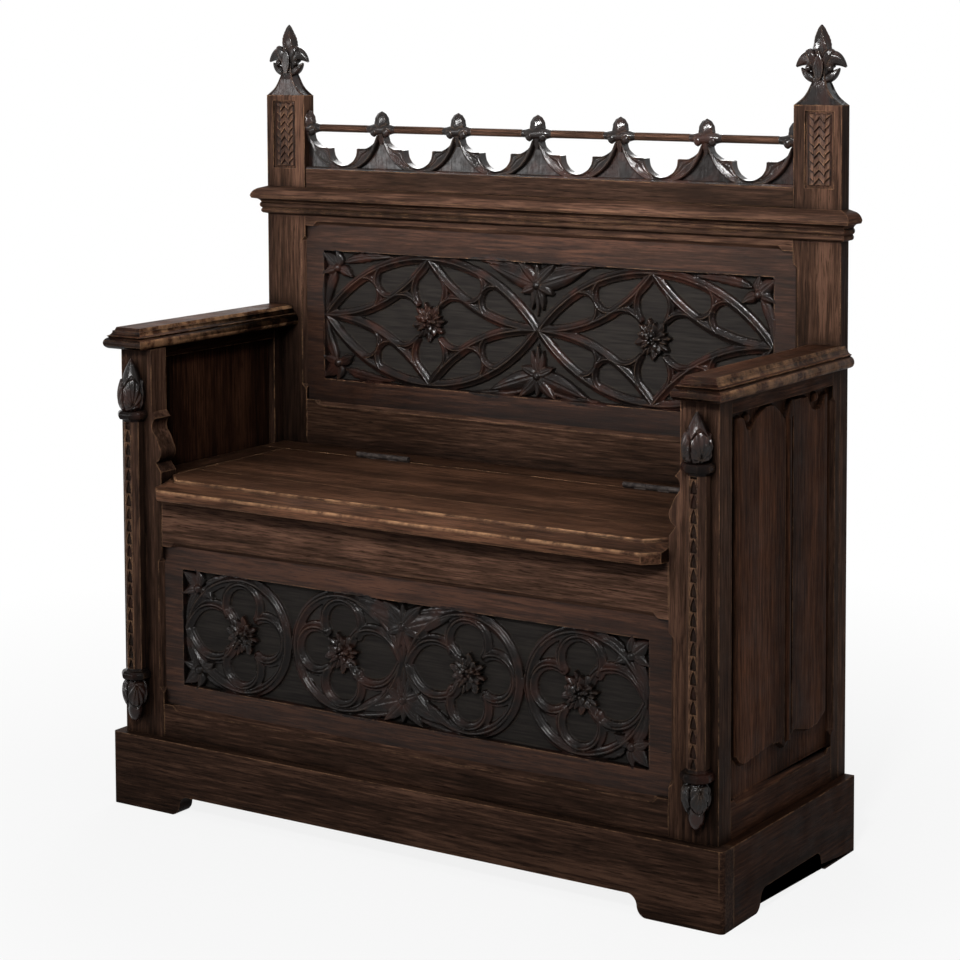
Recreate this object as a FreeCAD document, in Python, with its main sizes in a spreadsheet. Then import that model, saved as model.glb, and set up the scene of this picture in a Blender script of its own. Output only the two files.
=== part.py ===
import FreeCAD, Part
import Sketcher
import math
import os

# Hall bench with a lifting seat, built as framed panels, in millimetres.
# X runs along the seat, +Y to the back, +Z up; the origin is the middle of the footprint on the floor.

doc = FreeCAD.newDocument("HallBench")
sheet = doc.addObject("Spreadsheet::Sheet", "Sizes")

# Driving dimensions: name, value in millimetres, what it is
SIZES = [
    ("case_width", "1030", "over the outer faces of the posts"),
    ("case_depth", "383", "front face of the front posts to the back face"),
    ("seat_overhang", "37", "nosing in front of the posts"),
    ("arm_rise", "192", "seat top to the underside of the arm boards"),
    ("plinth_height", "111", "plinth boards"),
    ("plinth_ledge", "15", "plinth outside the case"),
    ("plinth_board", "30", "thickness of the plinth boards"),
    ("plinth_round", "7", "rounding of the plinth corners"),
    ("foot_length", "118", "front foot along the front board"),
    ("side_foot_length", "94", "foot along a side board"),
    ("foot_rise", "30", "height of the cut-outs between the feet"),
    ("foot_curve", "26", "length of the curve into a foot"),
    ("post_face", "76", "width of the front posts beside the panel"),
    ("post_neck", "59", "width of the front posts above the seat"),
    ("post_depth", "34", "thickness of the front frame"),
    ("scallop_height", "90", "scalloped stretch of the posts above the seat"),
    ("rear_post_face", "76", "width of the rear posts"),
    ("rear_post_thick", "25", "thickness of the back frame"),
    ("side_frame_thick", "28", "thickness of the side frames"),
    ("side_stile_width", "23", "stile in front of each rear post"),
    ("side_top_rail", "21", "height of the side top rails"),
    ("front_bottom_rail", "52", "height of the rail below the front panel"),
    ("front_opening", "242", "height of the front panel opening"),
    ("front_top_rail", "78", "height of the rail above the front panel"),
    ("back_opening_rise", "72", "seat top to the bottom of the back panel opening"),
    ("back_opening", "283", "height of the back panel opening"),
    ("seat_rail_drop", "50", "back seat rail below the seat top"),
    ("frame_chamfer", "8", "stopped chamfers round the panels"),
    ("chamfer_stop", "16", "from a panel corner to the start of its chamfers"),
    ("tenon_thick", "9", "thickness of the tenons"),
    ("tenon_length", "26", "length of the tenons"),
    ("tenon_shoulder", "9", "shoulder above and below a tenon"),
    ("tongue", "8", "panel tongue in its groove"),
    ("tongue_thick", "7", "thickness of the panel tongues"),
    ("fit_gap", "0.15", "clearance round tenons, tongues and dowels"),
    ("front_panel_thick", "21", "thickness of the front panel"),
    ("back_panel_thick", "17", "thickness of the back panel"),
    ("panel_setback", "7", "panel faces behind the frame faces"),
    ("front_field_side", "34", "panel beside the sunk field of the front"),
    ("front_field_edge", "32.5", "panel above and below the sunk field of the front"),
    ("back_field_side", "33", "panel beside the sunk field of the back"),
    ("back_field_low", "35.5", "panel below the sunk field of the back"),
    ("back_field_high", "39.5", "panel above the sunk field of the back"),
    ("field_depth", "10", "depth of the sunk fields"),
    ("rib_width", "9", "width of the tracery ribs"),
    ("lobe_radius", "33", "lobes of the front roundels"),
    ("lobe_reach", "45", "middle of a roundel to the middle of a lobe"),
    ("boss_radius", "24", "leafy bosses"),
    ("boss_rise", "13", "bosses above their ground"),
    ("side_panel_thick", "10", "thickness of the side panels"),
    ("fold_rise", "4", "folded wings above the side panels"),
    ("fold_rib_radius", "8", "middle rib of the side panels"),
    ("fold_margin", "20", "folded pattern inside the side openings"),
    ("bottom_board", "14", "thickness of the box bottom"),
    ("back_board", "10", "thickness of the lower back board"),
    ("bearer", "26", "square of the seat bearers"),
    ("lid_thick", "28", "thickness of the seat boards"),
    ("lid_gap", "2", "gap round the lifting lid"),
    ("lid_front_board", "117", "front board of the lid, nosing included"),
    ("nosing_fall", "14", "fall of the moulded nosing"),
    ("nosing_run", "28", "depth of the moulded nosing"),
    ("lid_cant", "20", "canted corners of the lid along the front"),
    ("batten_width", "50", "battens under the lid"),
    ("batten_thick", "18", "battens under the lid"),
    ("hinge_setback", "60", "hinge pins in front of the back frame"),
    ("hinge_spacing", "486", "between the middles of the two hinges"),
    ("hinge_length", "98", "length of a hinge"),
    ("hinge_leaf_depth", "24", "hinge leaves below the seat top"),
    ("hinge_leaf_thick", "2.2", "thickness of a hinge leaf"),
    ("barrel_radius", "4", "hinge knuckles"),
    ("pin_radius", "1.75", "hinge pins"),
    ("pin_clearance", "0.05", "radial clearance of a pin in its knuckles"),
    ("knuckle_gap", "0.4", "between neighbouring knuckles"),
    ("screw_radius", "1.8", "hinge screws"),
    ("screw_length", "19", "hinge screws"),
    ("arm_thick", "32", "thickness of the arm boards"),
    ("arm_overhang", "16.5", "arm moulding outside the case"),
    ("arm_front", "27", "arm moulding in front of the posts"),
    ("arm_width", "79", "width of the arm boards over their mouldings"),
    ("arm_return", "16", "arm moulding along the side of a rear post"),
    ("cornice_gap", "17", "top rail in view below the cornice"),
    ("cornice_rise", "45", "height of the cornice"),
    ("cornice_reach", "21", "cornice outside the posts"),
    ("crest_rise", "30", "plain crest board above the cornice"),
    ("post_rise", "118", "shoulders of the rear posts above the crest board"),
    ("crest_setback", "2", "crest board and gallery behind the post faces"),
    ("gallery_thick", "20", "thickness of the gallery"),
    ("gallery_rise", "95", "gallery above the crest board"),
    ("spandrel_depth", "5", "sunk spandrels of the gallery"),
    ("gallery_rail_radius", "6", "round rail of the gallery"),
    ("gallery_rail_level", "66", "rail above the foot of the gallery"),
    ("finial_height", "114", "finials above the shoulders"),
    ("finial_span", "76", "span of the finial leaves"),
    ("dowel_radius", "6", "dowels of the finials"),
    ("dowel_length", "20", "dowels of the finials"),
    ("pilaster_face", "12.5", "front facet of the pilasters"),
    ("pilaster_slant", "8.5", "side facets of the pilasters"),
    ("pilaster_return", "12", "depth of the pilaster sides"),
    ("pilaster_inset", "28", "middle of a pilaster inside the case side"),
    ("pilaster_low", "100", "top of the lower collars above the plinth"),
    ("pilaster_high", "106", "underside of the left upper collar below the arm boards"),
    ("pilaster_skew", "12", "right upper collar above the left one"),
    ("collar_height", "13", "pilaster collars"),
    ("collar_flare", "8", "collars outside the shaft"),
    ("bud_gap", "13", "tips of the buds below the arm boards"),
    ("drop_height", "67", "drops below the pilasters"),
]
for row, (alias, value, note) in enumerate(SIZES, start=1):
    sheet.set(f"A{row}", note)
    sheet.set(f"B{row}", value)
    sheet.setAlias(f"B{row}", alias)
doc.recompute()


class Dim:
    """A length that is a number and, at the same time, an expression on the sheet."""

    def __init__(self, text, value):
        self.text = text
        self.value = float(value)

    def combine(self, other, sign, value):
        return Dim(f"({self.text} {sign} {dim(other).text})", value)

    def __add__(self, other):
        return self.combine(other, "+", self.value + float(other))

    def __radd__(self, other):
        return dim(other) + self

    def __sub__(self, other):
        return self.combine(other, "-", self.value - float(other))

    def __rsub__(self, other):
        return dim(other) - self

    def __mul__(self, other):
        return self.combine(other, "*", self.value * float(other))

    def __rmul__(self, other):
        return dim(other) * self

    def __truediv__(self, other):
        return self.combine(other, "/", self.value / float(other))

    def __neg__(self):
        return Dim(f"(0 - {self.text})", -self.value)

    def __float__(self):
        return self.value


def dim(value):
    return value if isinstance(value, Dim) else Dim(f"({float(value)})", value)


def size(alias):
    return Dim(f"Sizes.{alias}", sheet.get(alias))


nodes = {}


def node(label, thing):
    """Name an object of the document as one sub-part."""
    thing.Label = label
    nodes[label] = thing
    return thing


def bind(thing, prop, value):
    thing.setExpression(prop, dim(value).text)


def place(thing, x=0, y=0, z=0):
    for axis, value in (("x", x), ("y", y), ("z", z)):
        bind(thing, f"Placement.Base.{axis}", value)
    return thing


def box(xs, ys, zs):
    """A box between two limits along each axis."""
    thing = doc.addObject("Part::Box", "Box")
    for prop, (low, high) in (("Length", xs), ("Width", ys), ("Height", zs)):
        bind(thing, prop, dim(high) - low)
    return place(thing, xs[0], ys[0], zs[0])


def cylinder(radius, length, x, y, z, direction):
    """A cylinder along +X, +Y or +Z from the given point."""
    thing = doc.addObject("Part::Cylinder", "Cylinder")
    bind(thing, "Radius", radius)
    bind(thing, "Height", length)
    turned = FreeCAD.Rotation(FreeCAD.Vector(0, 0, 1), FreeCAD.Vector(*direction))
    thing.Placement = FreeCAD.Placement(FreeCAD.Vector(), turned)
    return place(thing, x, y, z)


def fuse(pieces):
    if len(pieces) == 1:
        return pieces[0]
    thing = doc.addObject("Part::MultiFuse", "Fuse")
    thing.Shapes = pieces
    return thing


def common(pieces):
    thing = doc.addObject("Part::MultiCommon", "Common")
    thing.Shapes = pieces
    return thing


def cut(base, tools):
    thing = doc.addObject("Part::Cut", "Cut")
    thing.Base = base
    thing.Tool = fuse(tools)
    return thing


def grown(xs, ys, zs, gap):
    """The box round a tongue or tenon, larger by its clearance."""
    return box(*[(dim(low) - gap, dim(high) + gap) for low, high in (xs, ys, zs)])


def span(side, near, far):
    """Limits of something on the left (-1) or right (1), from its distances to the middle."""
    return (dim(near), dim(far)) if side > 0 else (-dim(far), -dim(near))


def arc_centre(start, end, radius, turn):
    """Middle of the arc from start to end, turning left (1) or right (-1)."""
    chord = end - start
    rise = math.sqrt(max(radius * radius - chord.Length ** 2 / 4, 0))
    normal = FreeCAD.Vector(-chord.y, chord.x, 0).normalize()
    return (start + end) * 0.5 + normal * rise * turn


def outline(sketch, corners):
    """Closed outline; a corner is (x, y) after a straight run or (x, y, radius, turn) after an arc."""
    curves, ends, rules, lengths = [], [], [], []
    for index, corner in enumerate(corners):
        before = corners[index - 1]
        start = FreeCAD.Vector(float(before[0]), float(before[1]), 0)
        end = FreeCAD.Vector(float(corner[0]), float(corner[1]), 0)
        if len(corner) == 2:
            curves.append(Part.LineSegment(start, end))
            ends.append((1, 2))
            continue
        radius, turn = float(corner[2]), corner[3]
        middle = arc_centre(start, end, radius, turn)
        first, last = (start, end) if turn > 0 else (end, start)
        angles = [math.atan2(p.y - middle.y, p.x - middle.x) for p in (first, last)]
        circle = Part.Circle(middle, FreeCAD.Vector(0, 0, 1), radius)
        curves.append(Part.ArcOfCircle(circle, angles[0], angles[1]))
        ends.append((1, 2) if turn > 0 else (2, 1))
        rules.append(Sketcher.Constraint("Radius", index, radius))
        lengths.append(corner[2])
    for index, corner in enumerate(corners):
        for kind, value in (("DistanceX", corner[0]), ("DistanceY", corner[1])):
            rules.append(Sketcher.Constraint(kind, -1, 1, index, ends[index][1], float(value)))
            lengths.append(value)
    for index in range(len(corners)):
        following = (index + 1) % len(corners)
        rules.append(Sketcher.Constraint("Coincident", index, ends[index][1], following, ends[following][0]))
    sketch.addGeometry(curves)
    sketch.addConstraint(rules)
    for number, length in enumerate(lengths):
        sketch.setExpression(f"Constraints[{number}]", dim(length).text)


def slab(plane, corners, low, high):
    """A body padded from an outline on the XY, XZ or YZ plane, between two limits along its normal."""
    body = doc.addObject("PartDesign::Body", "Body")
    sketch = body.newObject("Sketcher::SketchObject", "Outline")
    role = [f for f in body.Origin.OriginFeatures if f.Role == f"{plane}_Plane"][0]
    sketch.AttachmentSupport = [(role, "")]
    sketch.MapMode = "FlatFace"
    outline(sketch, corners)
    pad = body.newObject("PartDesign::Pad", "Pad")
    pad.Profile = sketch
    pad.Reversed = plane == "XZ"
    bind(pad, "Length", dim(high) - low)
    axis = {"XY": "z", "XZ": "y", "YZ": "x"}[plane]
    place(body, **{axis: low})
    return body


def rounded(body, radius, chosen):
    """Round the edges of a body's last feature that the test picks, in the body's own frame."""
    doc.recompute()
    base = body.Tip
    names = [f"Edge{i}" for i, edge in enumerate(base.Shape.Edges, start=1) if chosen(edge)]
    fillet = body.newObject("PartDesign::Fillet", "Fillet")
    fillet.Base = (base, names)
    bind(fillet, "Radius", radius)
    body.Tip = fillet
    return body


def feature(shape):
    thing = doc.addObject("Part::Feature", "Shape")
    thing.Shape = shape
    return thing


def near(a, b):
    return abs(float(a) - float(b)) < 0.01


# Levels and planes that follow from the sizes
half_case = size("case_width") / 2
back_y = (size("case_depth") + size("seat_overhang")) / 2
front_y = back_y - size("case_depth")
nosing_y = -back_y
plinth_top = size("plinth_height")
plinth_x = half_case + size("plinth_ledge")
plinth_front_y = front_y - size("plinth_ledge")
seat_low = plinth_top + size("front_bottom_rail") + size("front_opening") + size("front_top_rail")
seat_top = seat_low + size("lid_thick")
arm_level = seat_top + size("arm_rise")
post_back_y = front_y + size("post_depth")
back_face_y = back_y - size("rear_post_thick")
stile_y = back_face_y - size("side_stile_width")
post_inner = half_case - size("post_face")
neck_inner = half_case - size("post_neck")
rear_inner = half_case - size("rear_post_face")
side_inner = half_case - size("side_frame_thick")
hinge_y = back_face_y - size("hinge_setback")
gap = size("fit_gap")
SIDES = ((-1, "left"), (1, "right"))


# Frame joints
def tenon(xs, ys, zs):
    """One tenon with the mortise that takes it, as two boxes."""
    return box(xs, ys, zs), grown(xs, ys, zs, gap)


def stopped_chamfer(corner, along, toward, length):
    """The sliver taken off an edge, running out to the edge at both ends."""
    deep = float(size("frame_chamfer"))
    run = FreeCAD.Vector(*along)
    sides = [FreeCAD.Vector(*direction) * deep for direction in toward]
    first = FreeCAD.Vector(*[float(value) for value in corner])
    last = first + run * float(length)
    low = [first + side + run * deep for side in sides]
    high = [last + side - run * deep for side in sides]
    faces = [(first, low[0], low[1]), (last, high[0], high[1]), (low[0], low[1], high[1], high[0]),
             (first, last, high[0], low[0]), (first, last, high[1], low[1])]
    shell = Part.makeShell([Part.Face(Part.makePolygon(list(face) + [face[0]])) for face in faces])
    solid = Part.makeSolid(shell)
    if solid.Volume < 0:
        solid.reverse()
    return feature(solid)


def panel_chamfers(limit_x, low_z, high_z, face_y):
    """Chamfers round a panel opening: bottom, top and the two sides, by name."""
    stop = size("chamfer_stop")
    wide = limit_x * 2 - stop * 2
    tall = high_z - low_z - stop * 2
    inward = (0, 1, 0)
    return {
        "low": stopped_chamfer((stop - limit_x, face_y, low_z), (1, 0, 0), ((0, 0, -1), inward), wide),
        "high": stopped_chamfer((stop - limit_x, face_y, high_z), (1, 0, 0), ((0, 0, 1), inward), wide),
        "left": stopped_chamfer((-limit_x, face_y, low_z + stop), (0, 0, 1), ((-1, 0, 0), inward), tall),
        "right": stopped_chamfer((limit_x, face_y, low_z + stop), (0, 0, 1), ((1, 0, 0), inward), tall),
    }


# Plinth
def cut_out(half_length, foot, top):
    """Lower edge of a plinth board, with a curved foot at each end, and its top edge."""
    reach = half_length - foot
    curve = size("foot_curve")
    rise = size("foot_rise")
    bend = size("foot_curve") * 0.62
    middle = [(reach - curve / 2, rise / 2), (reach - curve, rise)]
    return [
        (-half_length, 0), (-reach, 0),
        (-middle[0][0], middle[0][1], bend, 1), (-middle[1][0], middle[1][1], bend, -1),
        (middle[1][0], middle[1][1]),
        (middle[0][0], middle[0][1], bend, -1), (reach, 0, bend, 1),
        (half_length, 0), (half_length, top), (-half_length, top),
    ]


def vertical(edge):
    box_of = edge.BoundBox
    return box_of.ZLength > float(plinth_top) - 1 and box_of.XLength < 0.01 and box_of.YLength < 0.01


plinth_back_of_front = plinth_front_y + size("plinth_board")
plinth_front = slab("XZ", cut_out(plinth_x, size("foot_length"), plinth_top),
                    plinth_front_y, plinth_back_of_front)
node("plinth_front", rounded(plinth_front, size("plinth_round"),
                             lambda edge: vertical(edge) and near(edge.BoundBox.YMin, 0)))
side_length = (back_y - plinth_back_of_front) / 2
side_middle = (back_y + plinth_back_of_front) / 2
for side, name in SIDES:
    foot_gap = size("side_foot_length")
    low_y = plinth_back_of_front
    curve, rise = size("foot_curve"), size("foot_rise")
    bend = curve * 0.62
    front_foot = plinth_front_y + foot_gap
    rear_foot = back_y - foot_gap
    corners = [
        (low_y, 0), (front_foot, 0), (front_foot + curve / 2, rise / 2, bend, 1),
        (front_foot + curve, rise, bend, -1), (rear_foot - curve, rise),
        (rear_foot - curve / 2, rise / 2, bend, -1), (rear_foot, 0, bend, 1),
        (back_y, 0), (back_y, plinth_top), (low_y, plinth_top),
    ]
    low_x, high_x = span(side, plinth_x - size("plinth_board"), plinth_x)
    node(f"plinth_{name}", slab("YZ", corners, low_x, high_x))
inside_plinth = plinth_x - size("plinth_board")
node("plinth_back", box((-inside_plinth, inside_plinth), (back_y - size("plinth_board"), back_y),
                        (size("foot_rise"), plinth_top)))
blocks = []
for side, name in SIDES:
    for low_y in (plinth_back_of_front, back_y - size("plinth_board") * 2):
        blocks.append(box(span(side, inside_plinth - size("plinth_board"), inside_plinth),
                          (low_y, low_y + size("plinth_board")), (size("foot_rise"), plinth_top)))
node("plinth_blocks", fuse(blocks))

# Front frame: levels of the rails and the panel
front_low = plinth_top + size("front_bottom_rail")
front_high = front_low + size("front_opening")
panel_face_y = front_y + size("panel_setback")
panel_back_y = panel_face_y + size("front_panel_thick")
tongue_y = (panel_back_y - size("tongue_thick"), panel_back_y)
tongue = size("tongue")
front_groove = grown((-post_inner - tongue, post_inner + tongue), tongue_y,
                     (front_low - tongue, front_high + tongue), gap)
front_chamfers = panel_chamfers(post_inner, front_low, front_high, front_y)
tenon_y = (post_back_y - size("tenon_thick") * 2, post_back_y - size("tenon_thick"))


def rail(xs, ys, zs, tenon_ys, cutters):
    """A rail between two posts with a tenon at each end; gives the rail and its two mortises."""
    shoulder = size("tenon_shoulder")
    levels = (zs[0] + shoulder, zs[1] - shoulder)
    tenons, mortises = [], []
    for end, sign in ((xs[0], -1), (xs[1], 1)):
        reach = (end - size("tenon_length"), end) if sign < 0 else (end, end + size("tenon_length"))
        tongue_box, mortise = tenon(reach, tenon_ys, levels)
        tenons.append(tongue_box)
        mortises.append(mortise)
    return cut(fuse([box(xs, ys, zs)] + tenons), cutters), mortises


inner_span = (-post_inner, post_inner)
front_depth = (front_y, post_back_y)
apron, apron_mortises = rail(inner_span, front_depth, (front_high, seat_low), tenon_y,
                             [front_groove, front_chamfers["high"]])
node("front_top_rail", apron)
low_rail, low_mortises = rail(inner_span, front_depth, (plinth_top, front_low), tenon_y,
                              [front_groove, front_chamfers["low"]])
node("front_bottom_rail", low_rail)

# Front posts: wide beside the panel, scalloped and narrower above the seat
side_rail_low = (plinth_top, front_low)
side_rail_high = (arm_level - size("side_top_rail"), arm_level)
side_low_z = side_rail_low[1]
side_high_z = side_rail_high[0]
side_tenon_x = (half_case - size("side_frame_thick") / 2 - size("tenon_thick") / 2,
                half_case - size("side_frame_thick") / 2 + size("tenon_thick") / 2)
side_face_x = half_case - size("panel_setback") + 1
side_tongue_x = (side_face_x - size("side_panel_thick"), side_face_x - size("side_panel_thick") + size("tongue_thick"))
for side, name in SIDES:
    step = size("post_face") - size("post_neck")
    top = seat_top + size("scallop_height") + 7
    high = size("scallop_height")
    corners = [
        (half_case, plinth_top), (half_case, arm_level), (neck_inner, arm_level), (neck_inner, top),
        (neck_inner - step * 0.45, top - high * 0.1),
        (neck_inner - step * 0.1, top - high * 0.33, high * 0.17, -1),
        (neck_inner - step * 0.78, top - high * 0.56, high * 0.5, 1),
        (neck_inner - step * 0.4, top - high * 0.85, high * 0.19, 1),
        (post_inner, top - high), (post_inner, plinth_top),
    ]
    if side < 0:
        corners = [(-c[0], c[1]) if len(c) == 2 else (-c[0], c[1], c[2], -c[3]) for c in corners]
    blank = slab("XZ", corners, front_y, post_back_y)
    side_tongue = size("tongue")
    side_groove = grown(span(side, *side_tongue_x), (post_back_y - side_tongue, stile_y + side_tongue),
                        (side_low_z - side_tongue, side_high_z + side_tongue), gap)
    mortise = 0 if side < 0 else 1
    side_mortises = {}
    rails = {}
    for level, zs, shoulder in (("bottom", side_rail_low, size("tenon_shoulder")),
                                ("top", side_rail_high, size("tenon_shoulder") / 2)):
        rail_box = box(span(side, side_inner, half_case), (post_back_y, stile_y), zs)
        ends = []
        for ys in ((post_back_y - size("tenon_length"), post_back_y),
                   (stile_y, stile_y + size("side_stile_width") * 0.6)):
            ends.append(tenon(span(side, *side_tenon_x), ys, (zs[0] + shoulder, zs[1] - shoulder)))
        side_mortises[level] = [pair[1] for pair in ends]
        rails[level] = fuse([rail_box] + [pair[0] for pair in ends])
    node(f"front_post_{name}", cut(blank, [
        front_groove, front_chamfers[name], apron_mortises[mortise], low_mortises[mortise],
        side_groove, side_mortises["bottom"][0], side_mortises["top"][0]]))
    rail_length = stile_y - post_back_y - size("chamfer_stop")
    low_chamfer = stopped_chamfer((half_case * side, post_back_y + size("chamfer_stop") / 2, side_low_z),
                                  (0, 1, 0), ((0, 0, -1), (-side, 0, 0)), rail_length)
    node(f"side_bottom_rail_{name}", cut(rails["bottom"], [side_groove, low_chamfer]))
    node(f"side_top_rail_{name}", cut(rails["top"], [side_groove]))
    stile = box(span(side, side_inner, half_case), (stile_y, back_face_y), (plinth_top, arm_level))
    stile_chamfer = stopped_chamfer((half_case * side, stile_y, side_low_z + size("chamfer_stop")), (0, 0, 1),
                                    ((0, 1, 0), (-side, 0, 0)),
                                    side_high_z - side_low_z - size("chamfer_stop") * 2)
    node(f"side_stile_{name}", cut(stile, [side_groove, side_mortises["bottom"][1],
                                           side_mortises["top"][1], stile_chamfer]))

# Front panel with its sunk field
field_z = (front_low + front_high) / 2
front_field = (post_inner - size("front_field_side"), size("front_opening") / 2 - size("front_field_edge"))
panel_gap = gap * 2
panel_body = box((panel_gap - post_inner, post_inner - panel_gap), (panel_face_y, panel_back_y),
                 (front_low + panel_gap, front_high - panel_gap))
panel_tongue = box((-post_inner - tongue, post_inner + tongue), tongue_y,
                   (front_low - tongue, front_high + tongue))
front_ground_y = panel_face_y + size("field_depth")
front_sinking = box((-front_field[0], front_field[0]), (panel_face_y, front_ground_y),
                    (field_z - front_field[1], field_z + front_field[1]))
node("front_panel", cut(fuse([panel_body, panel_tongue]), [front_sinking]))


# Tracery: ribs are bands along arcs, drawn on the XZ plane
def vector(x, z):
    return FreeCAD.Vector(x, 0, z)


def band(centre, radius, start, end, width):
    """A rib of the given width along an arc; the angles are in degrees from +X towards +Z."""
    arcs = []
    for reach in (radius - width / 2, radius + width / 2):
        points = []
        for angle in (start, (start + end) / 2, end):
            turn = math.radians(angle)
            points.append(centre + vector(math.cos(turn), math.sin(turn)) * reach)
        arcs.append(points)
    inner, outer = arcs
    edges = [Part.Arc(*inner).toShape(), Part.makeLine(inner[2], outer[2]),
             Part.Arc(*reversed(outer)).toShape(), Part.makeLine(outer[0], inner[0])]
    return Part.Face(Part.Wire(edges))


def arc_through(centre, first, last, width):
    """A rib from one point to another round a centre, the short way."""
    angles = [math.degrees(math.atan2(p.z - centre.z, p.x - centre.x)) for p in (first, last)]
    if angles[1] - angles[0] > 180:
        angles[0] += 360
    if angles[0] - angles[1] > 180:
        angles[1] += 360
    low, high = sorted(angles)
    return band(centre, (first - centre).Length, low, high, width)


def cusp(tip, foot_a, foot_b, hollow):
    """A pointed cusp with hollow sides, standing on two points of a rib."""
    sides = []
    for foot, turn in ((foot_a, -1), (foot_b, 1)):
        middle = (foot + tip) * 0.5
        along = (tip - foot).normalize()
        sides.append(middle + FreeCAD.Vector(-along.z, 0, along.x) * hollow * turn)
    edges = [Part.Arc(foot_a, sides[0], tip).toShape(), Part.Arc(tip, sides[1], foot_b).toShape(),
             Part.makeLine(foot_b, foot_a)]
    return Part.Face(Part.Wire(edges))


def spur(root, direction, rib, length):
    """A hollow-sided cusp growing from the middle of a rib; the length counts rib widths."""
    across = FreeCAD.Vector(-direction.z, 0, direction.x)
    foot = root + direction * rib * 0.3
    tip = root + direction * rib * length
    half = across * rib * length * 0.5
    return cusp(tip, foot + half, foot - half, rib * length * 0.08)


def walls(rings):
    """A solid with flat faces from ring to ring; each ring is a list of corners on one level."""
    faces = [Part.Face(Part.makePolygon(ring + ring[:1])) for ring in (rings[0], rings[-1])]
    for low, high in zip(rings, rings[1:]):
        for index in range(len(low)):
            corners = [low[index - 1], low[index], high[index], high[index - 1], low[index - 1]]
            faces.append(Part.Face(Part.makePolygon(corners)))
    solid = Part.Solid(Part.Shell(faces))
    if solid.Volume < 0:
        solid.reverse()
    return solid


def faceted(sides, rings):
    """A many-sided upright form about the Z axis; a ring is (radius, level)."""
    turns = [math.tau * (index + 0.5) / sides for index in range(sides)]
    return walls([[FreeCAD.Vector(math.cos(turn) * radius, math.sin(turn) * radius, level) for turn in turns]
                  for radius, level in rings])


def joined(faces, thickness):
    """Extrude flat faces towards +Y and fuse them into one plate."""
    solids = [face.extrude(FreeCAD.Vector(0, thickness, 0)) for face in faces]
    whole = solids[0].multiFuse(solids[1:])
    return whole.removeSplitter()


def roundel(centre, reach, half_height, point, rib):
    """One roundel with a pointed end (point is -1 for left, 1 for right) and a quatrefoil in it."""
    rim = half_height - rib / 2
    faces = [band(centre, rim, 90, 270, rib) if point > 0 else band(centre, rim, -90, 90, rib)]
    tip = reach - rib / 2
    sweep = (tip * tip + rim * rim) / (2 * rim)
    for up in (-1, 1):
        middle = centre + vector(0, up * (rim - sweep))
        faces.append(arc_through(middle, centre + vector(0, up * rim), centre + vector(point * tip, 0), rib))
    lobe = float(size("lobe_radius"))
    away = min(float(size("lobe_reach")), rim - lobe)
    opening = math.degrees(math.acos(min(away / math.sqrt(2) / lobe, 1)))
    for quarter in range(4):
        angle = quarter * 90
        turn = math.radians(angle)
        middle = centre + vector(math.cos(turn), math.sin(turn)) * away
        reach_out = 180 - 45 - opening
        faces.append(band(middle, lobe, angle - reach_out, angle + reach_out, rib * 0.8))
    return faces


rib = float(size("rib_width"))
front_reach = float(front_field[0]) / 2
front_rim = float(front_field[1])
front_pieces = []
roundel_centres = []
for pair in (-1, 1):
    for point in (-1, 1):
        centre = vector(pair * front_reach + point * front_reach * 0.457, float(field_z))
        roundel_centres.append(centre)
        front_pieces += roundel(centre, front_reach * (1 - 0.457), front_rim, point, rib)
plate = joined(front_pieces, float(size("field_depth")) - 0.3)
plate.translate(FreeCAD.Vector(0, float(panel_face_y) + 0.3, 0))
inset = float(gap)
field_limit = Part.makeBox(float(front_field[0]) * 2 - inset * 2, 60, float(front_field[1]) * 2 - inset * 2,
                           FreeCAD.Vector(inset - float(front_field[0]), float(panel_face_y) - 20,
                                          float(field_z - front_field[1]) + inset))
node("front_tracery", feature(plate.common(field_limit)))


def boss(centre, ground_y):
    """A leafy boss: a rosette of pointed petals with a button on it, standing on its ground."""
    radius = float(size("boss_radius"))
    rise = float(size("boss_rise"))
    petals = 8
    corners = []
    for index in range(petals):
        for share, reach in ((-0.5, 0.6), (-0.25, 0.9), (0, 1), (0.25, 0.9)):
            turn = math.tau * (index + share) / petals
            corners.append(vector(math.cos(turn), math.sin(turn)) * radius * reach)
    rosette = Part.Face(Part.makePolygon(corners + corners[:1])).extrude(FreeCAD.Vector(0, -rise * 0.6, 0))
    button = faceted(petals, ((radius * 0.4, 0), (radius * 0.36, rise * 0.2), (radius * 0.2, rise * 0.4)))
    button.rotate(FreeCAD.Vector(), FreeCAD.Vector(1, 0, 0), 90)
    button.translate(FreeCAD.Vector(0, -rise * 0.6, 0))
    whole = rosette.fuse(button)
    whole.translate(FreeCAD.Vector(centre.x, ground_y, centre.z))
    return whole


node("front_bosses", feature(Part.makeCompound(
    [boss(centre, float(front_ground_y)) for centre in roundel_centres])))

# Back frame: tall posts, three rails, panel with its sunk field
back_low = seat_top + size("back_opening_rise")
back_high = back_low + size("back_opening")
cornice_base = back_high + size("cornice_gap")
cornice_top = cornice_base + size("cornice_rise")
crest_top = cornice_top + size("crest_rise")
shoulder_z = crest_top + size("post_rise")
back_panel_face = back_face_y + size("panel_setback") - 1
back_panel_back = back_panel_face + size("back_panel_thick")
back_tongue_y = (back_panel_back - size("tongue_thick") - 2, back_panel_back - 2)
back_groove = grown((-rear_inner - tongue, rear_inner + tongue), back_tongue_y,
                    (back_low - tongue, back_high + tongue), gap)
back_chamfers = panel_chamfers(rear_inner, back_low, back_high, back_face_y)
back_tenon_y = (back_face_y + size("tenon_thick") * 0.9, back_face_y + size("tenon_thick") * 1.9)
back_depth = (back_face_y, back_y)
back_span = (-rear_inner, rear_inner)
top_rail, top_mortises = rail(back_span, back_depth, (back_high, cornice_top), back_tenon_y,
                              [back_groove, back_chamfers["high"]])
node("back_top_rail", top_rail)
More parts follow.
